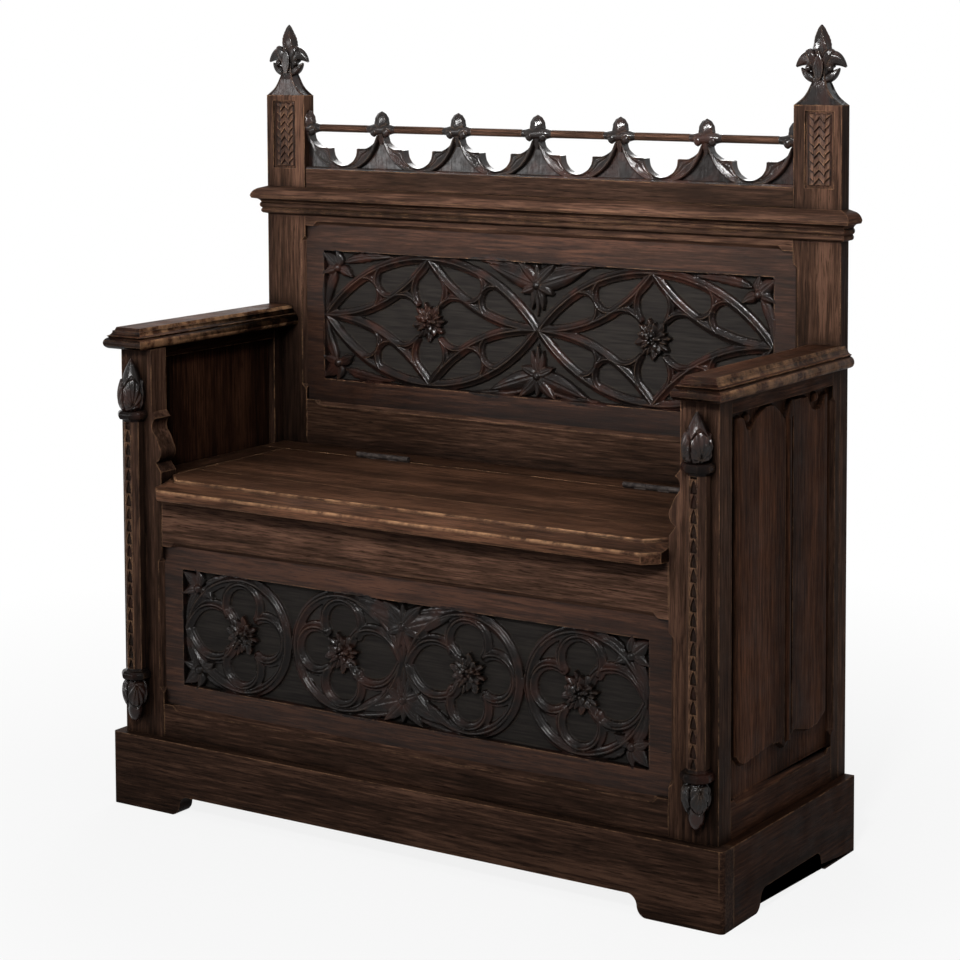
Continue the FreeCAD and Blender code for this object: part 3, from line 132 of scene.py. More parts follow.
def oak(name, axis, carved=NOT_CARVED, tint=(1, 1, 1), rough=0.5, worn=0.45, shine=0.012):
    """Old waxed oak with its grain along one axis; a marked piece's attributes say where it is carved."""
    material, tree = new_material(name)
    place = add_node(tree, "TexCoord").outputs["Object"]
    chance = add_node(tree, "ObjectInfo").outputs["Random"]
    shift = math_node(tree, "MULTIPLY", chance, 37.0)
    stretch = [1.0, 1.0, 1.0]
    stretch[axis] = GRAIN_STRETCH
    along = add_node(tree, "Mapping", {"Vector": place, "Scale": stretch}).outputs[0]

    def noise(space, scale, detail, roughness=0.55):
        return add_node(tree, "TexNoise", {"Vector": space, "W": shift, "Scale": scale, "Detail": detail,
                                           "Roughness": roughness}, noise_dimensions="4D").outputs[0]

    broad = noise(along, 20.0, 4.0)
    fine = noise(along, 270.0, 5.0, 0.68)
    grain = math_node(tree, "ADD", math_node(tree, "MULTIPLY", broad, BROAD_SHARE),
                      math_node(tree, "MULTIPLY", fine, FINE_SHARE))
    colour = colour_ramp(tree, grain, ((0.4, OAK_DARK), (0.5, OAK_MIDDLE), (0.61, OAK_LIGHT)))
    pore_mask = spread(tree, noise(along, 760.0, 2.0), 0.56, 0.66)
    colour = blend_colour(tree, math_node(tree, "MULTIPLY", pore_mask, 0.75), colour, OAK_PORE)

    # Stain in patches, and painted shade: darker where the piece is deep in a corner, from a wide occlusion
    stain_and_corner_shade = spread(tree, noise(place, 6.0, 3.0), 0.3, 0.7, 0.72, 1.15)
    deep = add_node(tree, "AmbientOcclusion", {"Distance": DEEP_REACH}, samples=6).outputs["AO"]
    stain_and_corner_shade = math_node(tree, "MULTIPLY", stain_and_corner_shade, spread(tree, deep, 0.4, 0.9, 0.3, 1.12))
    colour = blend_colour(tree, 1.0, colour, grey(tree, stain_and_corner_shade), "MULTIPLY")
    colour = blend_colour(tree, 1.0, colour, (*tint, 1), "MULTIPLY")

    # Wear on the outer edges and on the faces marked as rubbed
    normal = add_node(tree, "NewGeometry").outputs["Normal"]
    rounded = add_node(tree, "Bevel", {"Radius": EDGE_RADIUS}, samples=4).outputs[0]
    facing = add_node(tree, "VectorMath", {0: rounded, 1: normal}, operation="DOT_PRODUCT").outputs["Value"]
    near = add_node(tree, "AmbientOcclusion", {"Distance": NEAR_REACH}, samples=6).outputs["AO"]
    edge = math_node(tree, "MULTIPLY", spread(tree, facing, 0.995, 0.9), spread(tree, near, 0.55, 0.8))
    rub = add_node(tree, "Attribute", attribute_name="rub").outputs["Fac"]
    patches = spread(tree, noise(place, 45.0, 4.0, 0.7), 0.42, 0.6)
    wear = math_node(tree, "MULTIPLY", math_node(tree, "MAXIMUM", edge, rub), patches)
    gloss = spread(tree, noise(place, 30.0, 3.0), 0.3, 0.7, rough - 0.09, rough + 0.12)
    bump_height = math_node(tree, "ADD", math_node(tree, "MULTIPLY", fine, 0.5),
                            math_node(tree, "MULTIPLY", pore_mask, -0.5))

    if carved != NOT_CARVED:
        red = spread(tree, noise(place, 24.0, 2.0), 0.46, 0.66)
        stained = blend_colour(tree, red, CARVED_DARK, CARVED_RED)
        stained = blend_colour(tree, math_node(tree, "MULTIPLY", fine, 0.5), stained, OAK_PORE)
        tool = noise(place, 150.0, 2.0)
        bump_height = math_node(tree, "ADD", bump_height, math_node(tree, "MULTIPLY", tool, 1.1))
        carved_gloss = spread(tree, noise(place, 90.0, 3.0), 0.35, 0.65, 0.1, 0.27)
    if carved == ALL_CARVED:
        colour = stained
        wear = math_node(tree, "MULTIPLY", wear, CARVED_WEAR)
        gloss = carved_gloss
    elif carved == MARKED:
        share = add_node(tree, "Attribute", attribute_name="carve").outputs["Fac"]
        level = add_node(tree, "Attribute", attribute_name="level").outputs["Fac"]
        streak = spread(tree, noise(along, 420.0, 3.0), 0.36, 0.64)
        ground = blend_colour(tree, streak, CARVED_DARK, CARVED_GROUND)
        colour = blend_colour(tree, share, colour, blend_colour(tree, level, ground, stained))
        wear = math_node(tree, "MULTIPLY", wear, spread(tree, share, 0.0, 1.0, 1.0, CARVED_WEAR))
        carved_gloss = math_node(tree, "MAXIMUM", carved_gloss, spread(tree, level, 0.0, 0.5, 0.85, 0.0))
        gloss = add_node(tree, "Mix", {0: share, 2: gloss, 3: carved_gloss}, data_type="FLOAT").outputs[0]

    colour = blend_colour(tree, math_node(tree, "MULTIPLY", wear, worn), colour, OAK_WORN)
    # Painted shade: the colour is darker in creases and hollows, from the near occlusion
    crease_shade = spread(tree, near, 0.1, 0.92, 0.3, 1.0)
    colour = blend_colour(tree, 1.0, colour, grey(tree, crease_shade), "MULTIPLY")
    bump = add_node(tree, "Bump", {"Strength": 0.45, "Distance": 0.0006, "Height": bump_height})
    shader = add_node(tree, "BsdfPrincipled", {"Base Color": colour, "Roughness": gloss,
                                               "Normal": bump.outputs[0], "Specular IOR Level": shine})
    add_node(tree, "OutputMaterial", {"Surface": shader.outputs[0]})
    return material


def iron(name):
    """Dark steel with rubbed bright patches."""
    material, tree = new_material(name)
    place = add_node(tree, "TexCoord").outputs["Object"]
    stain = add_node(tree, "TexNoise", {"Vector": place, "Scale": 160.0, "Detail": 6.0}).outputs[0]
    colour = colour_ramp(tree, stain, ((0.38, srgb(24, 20, 19)), (0.62, srgb(50, 44, 41))))
    gloss = spread(tree, stain, 0.35, 0.65, 0.66, 0.45)
    bump = add_node(tree, "Bump", {"Strength": 0.3, "Distance": 0.0003, "Height": stain})
    shader = add_node(tree, "BsdfPrincipled", {"Base Color": colour, "Roughness": gloss,
                                               "Normal": bump.outputs[0], "Metallic": 0.15,
                                               "Specular IOR Level": 0.1})
    add_node(tree, "OutputMaterial", {"Surface": shader.outputs[0]})
    return material


# Painted shade: the side pieces, turned away from the lamps, are given a darker and warmer colour
SIDE_SHADE_TINT = (0.92, 0.74, 0.62)
PLAIN = [oak("oak_plain_x", X_AXIS), oak("oak_plain_y", Y_AXIS, tint=SIDE_SHADE_TINT),
         oak("oak_plain_z", Z_AXIS, tint=(0.82, 0.82, 0.82))]
SEAT = [oak(f"oak_seat_{letter}", axis, tint=(1.05, 0.94, 0.82), rough=0.42, worn=0.8, shine=0.03)
        for letter, axis in (("x", X_AXIS), ("y", Y_AXIS))]
BOARD = oak("oak_board_x", X_AXIS, MARKED, (0.52, 0.43, 0.38), shine=0.11)
SIDE_BOARD = oak("oak_board_z", Z_AXIS, tint=SIDE_SHADE_TINT)
SHAFT = oak("oak_shaft_z", Z_AXIS, MARKED, shine=0.04)
ARM = oak("oak_arm_y", Y_AXIS, MARKED, SIDE_SHADE_TINT, worn=0.55, shine=0.03)
CARVED = oak("oak_carved", Z_AXIS, ALL_CARVED, shine=0.2)
IRON = iron("hinge_iron")


# Mesh making
def place_object(name, data):
    made = bpy.data.objects.new(name, data)
    bpy.context.scene.collection.objects.link(made)
    return made


def grid_quads(rows, columns, around=False):
    """Faces of a grid of points; around closes each row on itself."""
    index = np.arange(rows * columns).reshape(rows, columns)
    if around:
        index = np.concatenate((index, index[:, :1]), axis=1)
    return np.stack((index[:-1, :-1], index[:-1, 1:], index[1:, 1:], index[1:, :-1]), axis=-1).reshape(-1, 4)


def tube(rings):
    """A closed skin through rings of points, with a flat cap at each end."""
    rings = np.asarray(rings, dtype=float)
    rows, columns = rings.shape[:2]
    last = (rows - 1) * columns
    caps = [list(range(columns))[::-1], list(range(last, last + columns))]
    return rings.reshape(-1, 3), grid_quads(rows, columns, True), caps


def make_piece(name, parts, body, material, layers=None, recalc=True, replaced=(), sharp=50):
    """One object from closed parts, each given as points in millimetres, quads and caps."""
    points, quads, caps, first = [], [], [], 0
    for part_points, part_quads, part_caps in parts:
        points.append(part_points)
        quads.append(part_quads + first)
        caps += [[corner + first for corner in cap] for cap in part_caps]
        first += len(part_points)
    points = np.concatenate(points) * MM
    quads = np.concatenate(quads)
    corners = np.concatenate([quads.ravel()] + [np.array(cap) for cap in caps])
    sizes = np.concatenate((np.full(len(quads), 4), [len(cap) for cap in caps])).astype(int)
    starts = np.concatenate(([0], np.cumsum(sizes)[:-1]))
    mesh = bpy.data.meshes.new(name)
    mesh.vertices.add(len(points))
    mesh.vertices.foreach_set("co", points.astype(np.float32).ravel())
    mesh.loops.add(len(corners))
    mesh.loops.foreach_set("vertex_index", corners.astype(np.int32))
    mesh.polygons.add(len(sizes))
    mesh.polygons.foreach_set("loop_start", starts.astype(np.int32))
    mesh.update(calc_edges=True)
    for key, values in (layers or {}).items():
        layer = mesh.attributes.new(key, "FLOAT", "POINT")
        full = np.zeros(len(points), dtype=np.float32)
        full[:len(values)] = values
        layer.data.foreach_set("value", full)
    if recalc:
        work = bmesh.new()
        work.from_mesh(mesh)
        bmesh.ops.recalc_face_normals(work, faces=work.faces)
        work.to_mesh(mesh)
        work.free()
    mesh.shade_smooth()
    mesh.set_sharp_from_angle(angle=math.radians(sharp))
    mesh.materials.append(material)
    made = place_object(name, mesh)
    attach(made, body)
    if replaced:
        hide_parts(*replaced)


# Plain boards: copies of the solids with softened edges
BOARDS = {
    "oak_case": {
        X_AXIS: ("plinth_front", "plinth_back", "front_top_rail", "front_bottom_rail", "back_top_rail",
                 "back_seat_rail", "cornice_front", "crest_board", "gallery_rail"),
        Y_AXIS: ("plinth_left", "plinth_right", "side_bottom_rail_left", "side_bottom_rail_right",
                 "side_top_rail_left", "side_top_rail_right", "arm_left", "arm_right", "cornice_left",
                 "cornice_right"),
        Z_AXIS: ("front_post_left", "front_post_right", "side_stile_left", "side_stile_right",
                 "rear_post_left", "rear_post_right"),
    },
    "oak_seat": {
        X_AXIS: ("seat_rear_strip", "lid_rear_board"),
        Y_AXIS: ("seat_side_strip_left", "seat_side_strip_right"),
    },
}
ARMS = ("arm_left", "arm_right")
SOFT_EDGE = 0.9 * MM
SHORT_EDGE = 3 * MM
SHARP_ANGLE = math.radians(33)
SMOOTH_ANGLE = math.radians(42)


def mark_arm(mesh):
    """Note the rubbed outer faces and the dark front end of an arm board, face by face."""
    normals = np.array([face.normal[:] for face in mesh.polygons])
    marks = {
        "rub": np.where(np.abs(normals[:, 0]) > 0.7, 0.9, 0.0),
        "carve": np.where(normals[:, 1] < -0.6, 0.8, 0.0),
        "level": np.ones(len(normals)),
    }
    for key, values in marks.items():
        mesh.attributes.new(key, "FLOAT", "FACE").data.foreach_set("value", values.astype(np.float32))


def soften(node, material):
    """A copy of a board whose long sharp edges are rounded."""
    work = bmesh.new()
    work.from_mesh(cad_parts[node].data)
    bmesh.ops.remove_doubles(work, verts=work.verts, dist=0.01 * MM)
    bmesh.ops.dissolve_limit(work, angle_limit=0.01, verts=work.verts, edges=work.edges)
    edges = [e for e in work.edges if len(e.link_faces) == 2 and e.calc_face_angle(0) > SHARP_ANGLE
             and e.calc_length() > SHORT_EDGE]
    bmesh.ops.bevel(work, geom=edges, offset=SOFT_EDGE, offset_type="OFFSET", segments=2, profile=0.5,
                    affect="EDGES", clamp_overlap=True)
    mesh = bpy.data.meshes.new(node + "_wood")
    work.to_mesh(mesh)
    work.free()
    if node in ARMS:
        mark_arm(mesh)
        material = ARM
    mesh.shade_smooth()
    mesh.set_sharp_from_angle(angle=SMOOTH_ANGLE)
    mesh.materials.append(material)
    made = place_object(node + "_wood", mesh)
    weigh = made.modifiers.new("weighted", "WEIGHTED_NORMAL")
    weigh.keep_sharp = True
    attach(made, "seat_lid" if node in LID_NODES else "case")
    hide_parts(node)


for slot_name, rows in BOARDS.items():
    finish = PLAIN if slot_name == "oak_case" else SEAT
    for grain_axis, names in rows.items():
        for node_name in names:
            soften(node_name, finish[grain_axis])

# Solids that stay as they are
STAYING = (
    (PLAIN[X_AXIS], ("back_bottom_rail", "box_bottom")),
    (PLAIN[Y_AXIS], ("seat_bearers", "lid_battens")),
    (PLAIN[Z_AXIS], ("lower_back_board", "plinth_blocks")),
    (IRON, ("hinge_fixed_leaves", "hinge_lid_leaves", "hinge_pins", "hinge_screws_case",
            "hinge_screws_lid")),
)
for material, names in STAYING:
    for node_name in names:
        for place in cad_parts[node_name].material_slots:
            place.material = material

# Carved boards as fine height fields
NOWHERE = -99


class Relief:
    """A board's face: u and v in millimetres, and the height of each point above the board's plane."""

    def __init__(self, low, high, step):
        axes = [np.linspace(start, end, int(round((end - start) / step)) + 1)
                for start, end in zip(low, high)]
        self.u, self.v = np.meshgrid(*axes)
        self.h = np.zeros_like(self.u)
        self.carve = np.zeros_like(self.u)
        self.level = np.ones_like(self.u)

    def near(self, u_low, u_high, v_low, v_high):
        columns = np.searchsorted(self.u[0], (u_low, u_high))
        rows = np.searchsorted(self.v[:, 0], (v_low, v_high))
        return np.s_[rows[0]:rows[1] + 1, columns[0]:columns[1] + 1]

    def put(self, where, shape):
        self.h[where] = np.maximum(self.h[where], shape)

    def layers(self):
        return {"carve": self.carve.ravel(), "level": self.level.ravel()}

    def solid(self, corner, u_axis, v_axis, out, back):
        """The closed board; back is how far its plane back lies behind the face."""
        axes = [np.array(axis, dtype=float) for axis in (u_axis, v_axis, out)]
        face = (np.array(corner, dtype=float) + self.u[..., None] * axes[0] + self.v[..., None] * axes[1]
                + self.h[..., None] * axes[2])
        rows, columns = self.u.shape
        index = np.arange(rows * columns).reshape(rows, columns)
        loop = np.concatenate((index[0], index[1:, -1], index[-1, -2::-1], index[-2:0:-1, 0]))
        flat = face.reshape(-1, 3)
        heights = self.h.reshape(-1)[loop]
        rim = flat[loop] - (heights + back)[:, None] * axes[2]
        count = rows * columns
        ring = np.arange(len(loop)) + count
        following = np.roll(np.arange(len(loop)), -1)
        skirt = np.stack((loop[following], loop, ring, ring[following]), axis=-1)
        quads = np.concatenate((grid_quads(rows, columns), skirt))
        return np.concatenate((flat, rim)), quads, [list(ring[::-1])]

    def forward(self, x, y, back):
        """The closed board with its face to the front and its plane at y."""
        return self.solid((x, y, 0), (1, 0, 0), (0, 0, 1), (0, -1, 0), back)


def path_distance(u, v, path):
    """Distance to a chain of points and the share of the chain at the nearest place."""
    best = np.full(u.shape, 1e9)
    share = np.zeros(u.shape)
    steps = len(path) - 1
    for number in range(steps):
        (au, av), (bu, bv) = path[number], path[number + 1]
        du, dv = bu - au, bv - av
        t = np.clip(((u - au) * du + (v - av) * dv) / (du * du + dv * dv), 0, 1)
        distance = np.hypot(u - au - du * t, v - av - dv * t)
        closer = distance < best
        best = np.where(closer, distance, best)
        share = np.where(closer, (number + t) / steps, share)
    return best, share


def bend(start, middle, end, count=14):
    """Points of a curve from start to end that leans toward middle."""
    t = np.linspace(0, 1, count)[:, None]
    start, middle, end = (np.array(p, dtype=float) for p in (start, middle, end))
    return start * (1 - t) ** 2 + middle * 2 * t * (1 - t) + end * t ** 2


def hollow_profile(distance, ground, arris=0.9, run=7.0, fall=5.0, wall=1.4):
    """A rib: a thin arris on top, a hollow slope each side and a short steep wall to the ground."""
    t = np.clip((distance - arris) / run, 0, 1)
    w = np.clip((distance - arris - run) / wall, 0, 1)
    return -fall * (1 - (1 - t) ** 2) + (ground + fall) * w


def rib_path(relief, path, ground, **shape):
    path = np.asarray(path)
    reach = 14
    where = relief.near(path[:, 0].min() - reach, path[:, 0].max() + reach,
                        path[:, 1].min() - reach, path[:, 1].max() + reach)
    distance, _ = path_distance(relief.u[where], relief.v[where], path)
    relief.put(where, hollow_profile(distance, ground, **shape))


def rib_arc(relief, centre, radius, start, end, ground, **shape):
    """A rib along an arc; the angles are in degrees and run anticlockwise."""
    count = max(6, int(abs(end - start) / 180 * math.pi * radius / 5))
    turns = np.radians(np.linspace(start, end, count))
    path = np.stack((centre[0] + radius * np.cos(turns), centre[1] + radius * np.sin(turns)), axis=-1)
    rib_path(relief, path, ground, **shape)


def leaf(relief, path, width, base, rise, lobes=0.0, vein=1.0, fat=0.75):
    """A leaf along a path: a rounded back, a sunk vein and a cut edge, waved if lobes is set."""
    path = np.asarray(path, dtype=float)
    where = relief.near(path[:, 0].min() - width, path[:, 0].max() + width,
                        path[:, 1].min() - width, path[:, 1].max() + width)
    distance, share = path_distance(relief.u[where], relief.v[where], path)
    half = width * np.sin(np.pi * np.clip(share, 0.02, 0.98) ** fat) ** 0.7 + 0.4
    if lobes:
        half = half * (0.82 + 0.18 * np.abs(np.sin(np.pi * lobes * share)))
    s = distance / half
    body = base + rise * (1 - 0.5 * np.clip(s, 0, 1) ** 2.2)
    body = body - vein * np.exp(-(distance / 1.3) ** 2)
    drop = np.clip((s - 0.86) / 0.14, 0, 1) ** 2
    shape = np.where(s < 1, body - drop * rise * 0.5, NOWHERE)
    relief.put(where, shape)
    marked = s < 1.12
    relief.carve[where] = np.where(marked, 1.0, relief.carve[where])
    relief.level[where] = np.where(s < 1, 1.0, relief.level[where])


def ball(relief, centre, radius, base):
    where = relief.near(centre[0] - radius, centre[0] + radius, centre[1] - radius, centre[1] + radius)
    distance = np.hypot(relief.u[where] - centre[0], relief.v[where] - centre[1])
    dome = np.sqrt(np.clip(radius ** 2 - distance ** 2, 0, None))
    relief.put(where, np.where(distance < radius, base + dome, NOWHERE))


# Tiers of a boss: the number of petals, then reach, offset, foot and rise as shares
TIERS = ((8, 1.0, 0.0, 0.2, 0.5), (8, 0.8, 0.5, 0.36, 0.46), (5, 0.52, 0.2, 0.6, 0.42))
BUDS = 5


def rosette(relief, centre, radius, base, top, turn):
    """A spiky boss of folded leaves in three tiers with a knot of small buds in the middle."""
    where = relief.near(centre[0] - radius, centre[0] + radius, centre[1] - radius, centre[1] + radius)
    du, dv = relief.u[where] - centre[0], relief.v[where] - centre[1]
    distance = np.hypot(du, dv)
    angle = np.arctan2(dv, du)
    angle = angle + turn + 0.12 * np.sin(3 * angle + turn)
    high = top - base
    for petals, reach, offset, low, rise in TIERS:
        sector = math.tau / petals
        s = np.abs((angle / sector + offset) % 1 - 0.5) * 2
        outline = radius * reach * (1 - 0.5 * s ** 1.2)
        swell = np.sin(np.pi * np.clip(distance / (radius * reach), 0, 1) * 0.7)
        fold = 1 - 0.8 * s
        shape = base + high * (low + rise * swell * fold)
        relief.put(where, np.where(distance < outline, shape, NOWHERE))
    relief.level[where] = np.where(distance < radius, 1.0, relief.level[where])
    for index in range(BUDS):
        spin = math.tau * index / BUDS + turn
        place = (centre[0] + math.cos(spin) * radius * 0.19, centre[1] + math.sin(spin) * radius * 0.19)
        ball(relief, place, radius * 0.1, base + high * 0.88)


def mirrored(path, centre, sign_u, sign_v):
    return [(centre[0] + sign_u * u, centre[1] + sign_v * v) for u, v in path]


BOARD_HALF = 447
GROUND = -10.0
FRONT_FACE = -166.0
FRONT_THICK = 21
FRONT_MIDDLE = 284.0
FRONT_FIELD = (405, 88.5)
FRONT_PAIR = 202.5
FRONT_ROUNDEL = 92.5
RIM = 84.0
TIP = 105.5
LOBE = 33.0
LOBE_AWAY = 45.0
LOBE_REACH = 121
LOBE_RIB = {"run": 6.6, "fall": 5.4}
POINTED_LOBE = (((16, 17), (26, 41), (56, 41)), ((56, 41), (86, 40), (103, 4)))
BOSS_TOP = 3.6


def sink_field(relief, half_u, middle_v, half_v, ground, slope=1.6):
    """Sink a rectangle to the ground with nearly upright walls."""
    inside = np.minimum(half_u - np.abs(relief.u), half_v - np.abs(relief.v - middle_v))
    relief.h[:] = ground * np.clip(inside / slope, 0, 1)
    relief.carve[:] = inside > -0.5
    relief.level[:] = np.where(inside > slope, 0.0, 1.0)


def mark_levels(relief, ground):
    """Note where the surface stands clear of the ground, for the finish."""
    raised = np.clip((relief.h - ground - 0.8) / 2.5, 0, 1)
    relief.level[:] = np.where(relief.carve > 0.5, raised, relief.level)


def front_roundel(relief, centre_u, point):
    """One roundel with a pointed end, its four lobes and the sunk triangles round them."""
    middle = (centre_u, FRONT_MIDDLE)
    where = relief.near(centre_u - TIP - 4, centre_u + TIP + 4,
                        FRONT_MIDDLE - RIM - 5, FRONT_MIDDLE + RIM + 5)
    u, v = relief.u[where] - centre_u, relief.v[where] - FRONT_MIDDLE
    sweep = (TIP ** 2 + RIM ** 2) / (2 * RIM)
    pointed = np.maximum(np.hypot(u, v - (RIM - sweep)), np.hypot(u, v + (RIM - sweep))) < sweep
    inside = np.where(u * point > 0, pointed, np.hypot(u, v) < RIM)
    turns = [math.radians(quarter * 90) for quarter in range(4)]
    lobes = [(math.cos(turn) * LOBE_AWAY, math.sin(turn) * LOBE_AWAY) for turn in turns]
    open_parts = (u * point > LOBE_AWAY) & (np.hypot((u - point * 56) / 52, v / 42) < 1)
    for lobe_u, lobe_v in lobes:
        open_parts |= np.hypot(u - lobe_u, v - lobe_v) < LOBE + 1
    relief.put(where, np.where(inside & ~open_parts, GROUND + 1.3, NOWHERE))

    half_turn = (90, 270) if point > 0 else (-90, 90)
    rib_arc(relief, middle, RIM, *half_turn, GROUND)
    for up in (-1, 1):
        rim_middle = (centre_u, FRONT_MIDDLE + up * (RIM - sweep))
        tip_turn = math.degrees(math.atan2(-up * (RIM - sweep), point * TIP))
        rib_arc(relief, rim_middle, sweep, up * 90, tip_turn, GROUND)
        for steps in POINTED_LOBE:
            rib_path(relief, bend(*mirrored(steps, middle, point, up)), GROUND, **LOBE_RIB)
    pointed_quarter = 0 if point > 0 else 2
    for quarter, (lobe_u, lobe_v) in enumerate(lobes):
        if quarter != pointed_quarter:
            rib_arc(relief, (centre_u + lobe_u, FRONT_MIDDLE + lobe_v), LOBE, quarter * 90 - LOBE_REACH,
                    quarter * 90 + LOBE_REACH, GROUND, **LOBE_RIB)
    rosette(relief, middle, 31, GROUND, BOSS_TOP, 0.2 * point)


CORNER_LEAVES = (
    (((-14, 10), (-44, 22), (-108, 22)), 8.5, 5.0, 6),
    (((4, -6), (21, -22), (24, -70)), 9.5, 7.0, 0),
    (((3, 3), (12, 12), (27, 23)), 12.0, 9.0, 0),
    (((4, -2), (14, -2), (28, -10)), 8.5, 9.5, 0),
    (((-1, 4), (-5, 14), (3, 28)), 8.5, 8.0, 0),
    (((-3, -2), (-14, -3), (-27, -13)), 9.0, 8.0, 0),
)
MIDDLE_LEAVES = (
    (((18, 20), (62, 34), (124, 35)), 7.5, 5.0, 8),
    (((4, 0), (34, 8), (86, 27)), 14.0, 8.5, 0),
    (((2, 4), (12, 18), (32, 33)), 11.0, 9.5, 0),
    (((1, -3), (8, -14), (10, -38)), 6.5, 8.0, 0),
    (((3, -2), (14, -5), (28, -13)), 9.0, 9.5, 0),
)
STEM_LEAVES = (
    (((0, 0), (0, -24), (0, -48)), 4.6, 6.5, 0),
    (((0, 0), (0, 14), (0, 33)), 7.5, 9.0, 3),
)


def flower(relief, centre, sign_u, sign_v, base, leaves):
    """A ball with leaves round it; each leaf is a curve, its width, its height and its number of lobes."""
    for steps, width, rise, lobes in leaves:
        leaf(relief, bend(*mirrored(steps, centre, sign_u, sign_v)), width, base, rise, lobes)
    ball(relief, centre, 7.2, base + 5.6)


def leafy_field(relief, middle_v, corner, stem_v):
    """Flowers in the four corners of a field and at the middle of its upper and lower edges."""
    for sign_v in (-1, 1):
        stem = (0, middle_v + stem_v * sign_v)
        for sign_u in (-1, 1):
            place = (corner[0] * sign_u, middle_v + corner[1] * sign_v)
            flower(relief, place, sign_u, sign_v, GROUND + 1, CORNER_LEAVES)
            flower(relief, stem, sign_u, sign_v, GROUND + 1, MIDDLE_LEAVES)
        flower(relief, stem, 1, sign_v, GROUND + 1, STEM_LEAVES)


front = Relief((-BOARD_HALF, 155), (BOARD_HALF, 413), 1.0)
sink_field(front, FRONT_FIELD[0], FRONT_MIDDLE, FRONT_FIELD[1], GROUND)
for pair in (-1, 1):
    for point in (-1, 1):
        front_roundel(front, pair * FRONT_PAIR + point * FRONT_ROUNDEL, point)
leafy_field(front, FRONT_MIDDLE, (377, 62), 53)
mark_levels(front, GROUND)
make_piece("front_carved_board", [front.forward(0, FRONT_FACE, FRONT_THICK)], "case", BOARD,
           front.layers(), False, ("front_panel", "front_tracery", "front_bosses"))

BACK_FACE = 191.0
BACK_THICK = 17
BACK_MIDDLE = 722.5
BACK_FIELD = (406, 104)
VESICA = (200.3, 99.5)
VESICA_AWAY = 203.0


def cusp(relief, root, direction, length, spread_out, ground):
    """Two curved branches that leave a rib and meet in a nosed tip."""
    root, direction = np.array(root), np.array(direction) / np.hypot(*direction)
    tangent = np.array((-direction[1], direction[0]))
    end = root + direction * length
    for hand in (-1, 1):
        start = root + tangent * hand * spread_out
        turn = root + tangent * hand * spread_out * 0.12 + direction * length * 0.18
        rib_path(relief, bend(start, turn, end), ground, arris=0.8, run=4.6, fall=4.6)
    leaf(relief, bend(end - direction * 7, end, end + direction * 5), 4.2, ground + 2, 7.5, 0, 0.2)


def vesica(relief, centre_u):
    """A pointed oval with a hollow-sided star in it, and cusps in each of the spaces."""
    tip, top = VESICA
    sweep = (tip ** 2 + top ** 2) / (2 * top)
    reach = math.degrees(math.asin(tip / sweep))
    centre = np.array((centre_u, BACK_MIDDLE))
    for up in (-1, 1):
        rim_middle = centre + (0, up * (top - sweep))
        rib_arc(relief, rim_middle, sweep, up * 90 - reach, up * 90 + reach, GROUND)
        for out in (-1, 1):
            hollow = centre + (out * tip, up * sweep)
            across = math.degrees(math.atan2(centre[1] + up * top - hollow[1], centre[0] - hollow[0]))
            rib_arc(relief, hollow, sweep, -up * 90, across, GROUND)
            inward = (centre - hollow) / np.hypot(*(centre - hollow))
            cusp(relief, hollow + inward * sweep, inward, 34, 27, GROUND)
            between = (rim_middle - hollow) / np.hypot(*(rim_middle - hollow))
            cusp(relief, hollow + between * sweep, -between, 23, 24, GROUND)
            cusp(relief, rim_middle - between * sweep, between, 23, 24, GROUND)
    rosette(relief, centre, 32, GROUND, BOSS_TOP, 0.25)


back = Relief((-BOARD_HALF, 575), (BOARD_HALF, 874), 1.0)
sink_field(back, BACK_FIELD[0], BACK_MIDDLE, BACK_FIELD[1], GROUND)
for side, _ in SIDES:
    vesica(back, side * VESICA_AWAY)
leafy_field(back, BACK_MIDDLE, (380, 77), 70)
mark_levels(back, GROUND)
make_piece("back_carved_board", [back.forward(0, BACK_FACE, BACK_THICK)], "case", BOARD,
           back.layers(), False, ("back_panel", "back_tracery", "back_bosses"))

# Folded side panels
SIDE_FACE = 509.0
SIDE_THICK = 10
FOLD_TOP = ((-145, 674), (-122, 676), (-113, 673), (-109, 664), (-104, 657), (-96, 655), (-90, 659),
            (-80, 668), (-66, 675), (-50, 680), (-39, 681), (-25, 679), (-10, 670), (0, 662), (7, 656),
            (11, 648), (13, 660), (18, 673), (26, 680), (48, 679), (76, 677), (81, 668), (90, 659),
            (100, 656), (112, 657), (122, 664), (128, 674), (145, 677))
FOLD_BOTTOM = ((-145, 222), (-133, 217), (-122, 206), (-109, 201), (-70, 205), (-30, 209), (-8, 206),
               (9, 195), (22, 203), (37, 213), (60, 208), (86, 201), (112, 204), (132, 214), (145, 222))
FOLD_SHIFT = 10.0
FOLD_RISE = 4.5
FOLD_RIB = 18
FOLD_CURLS = ((-101, 670), (103, 672))


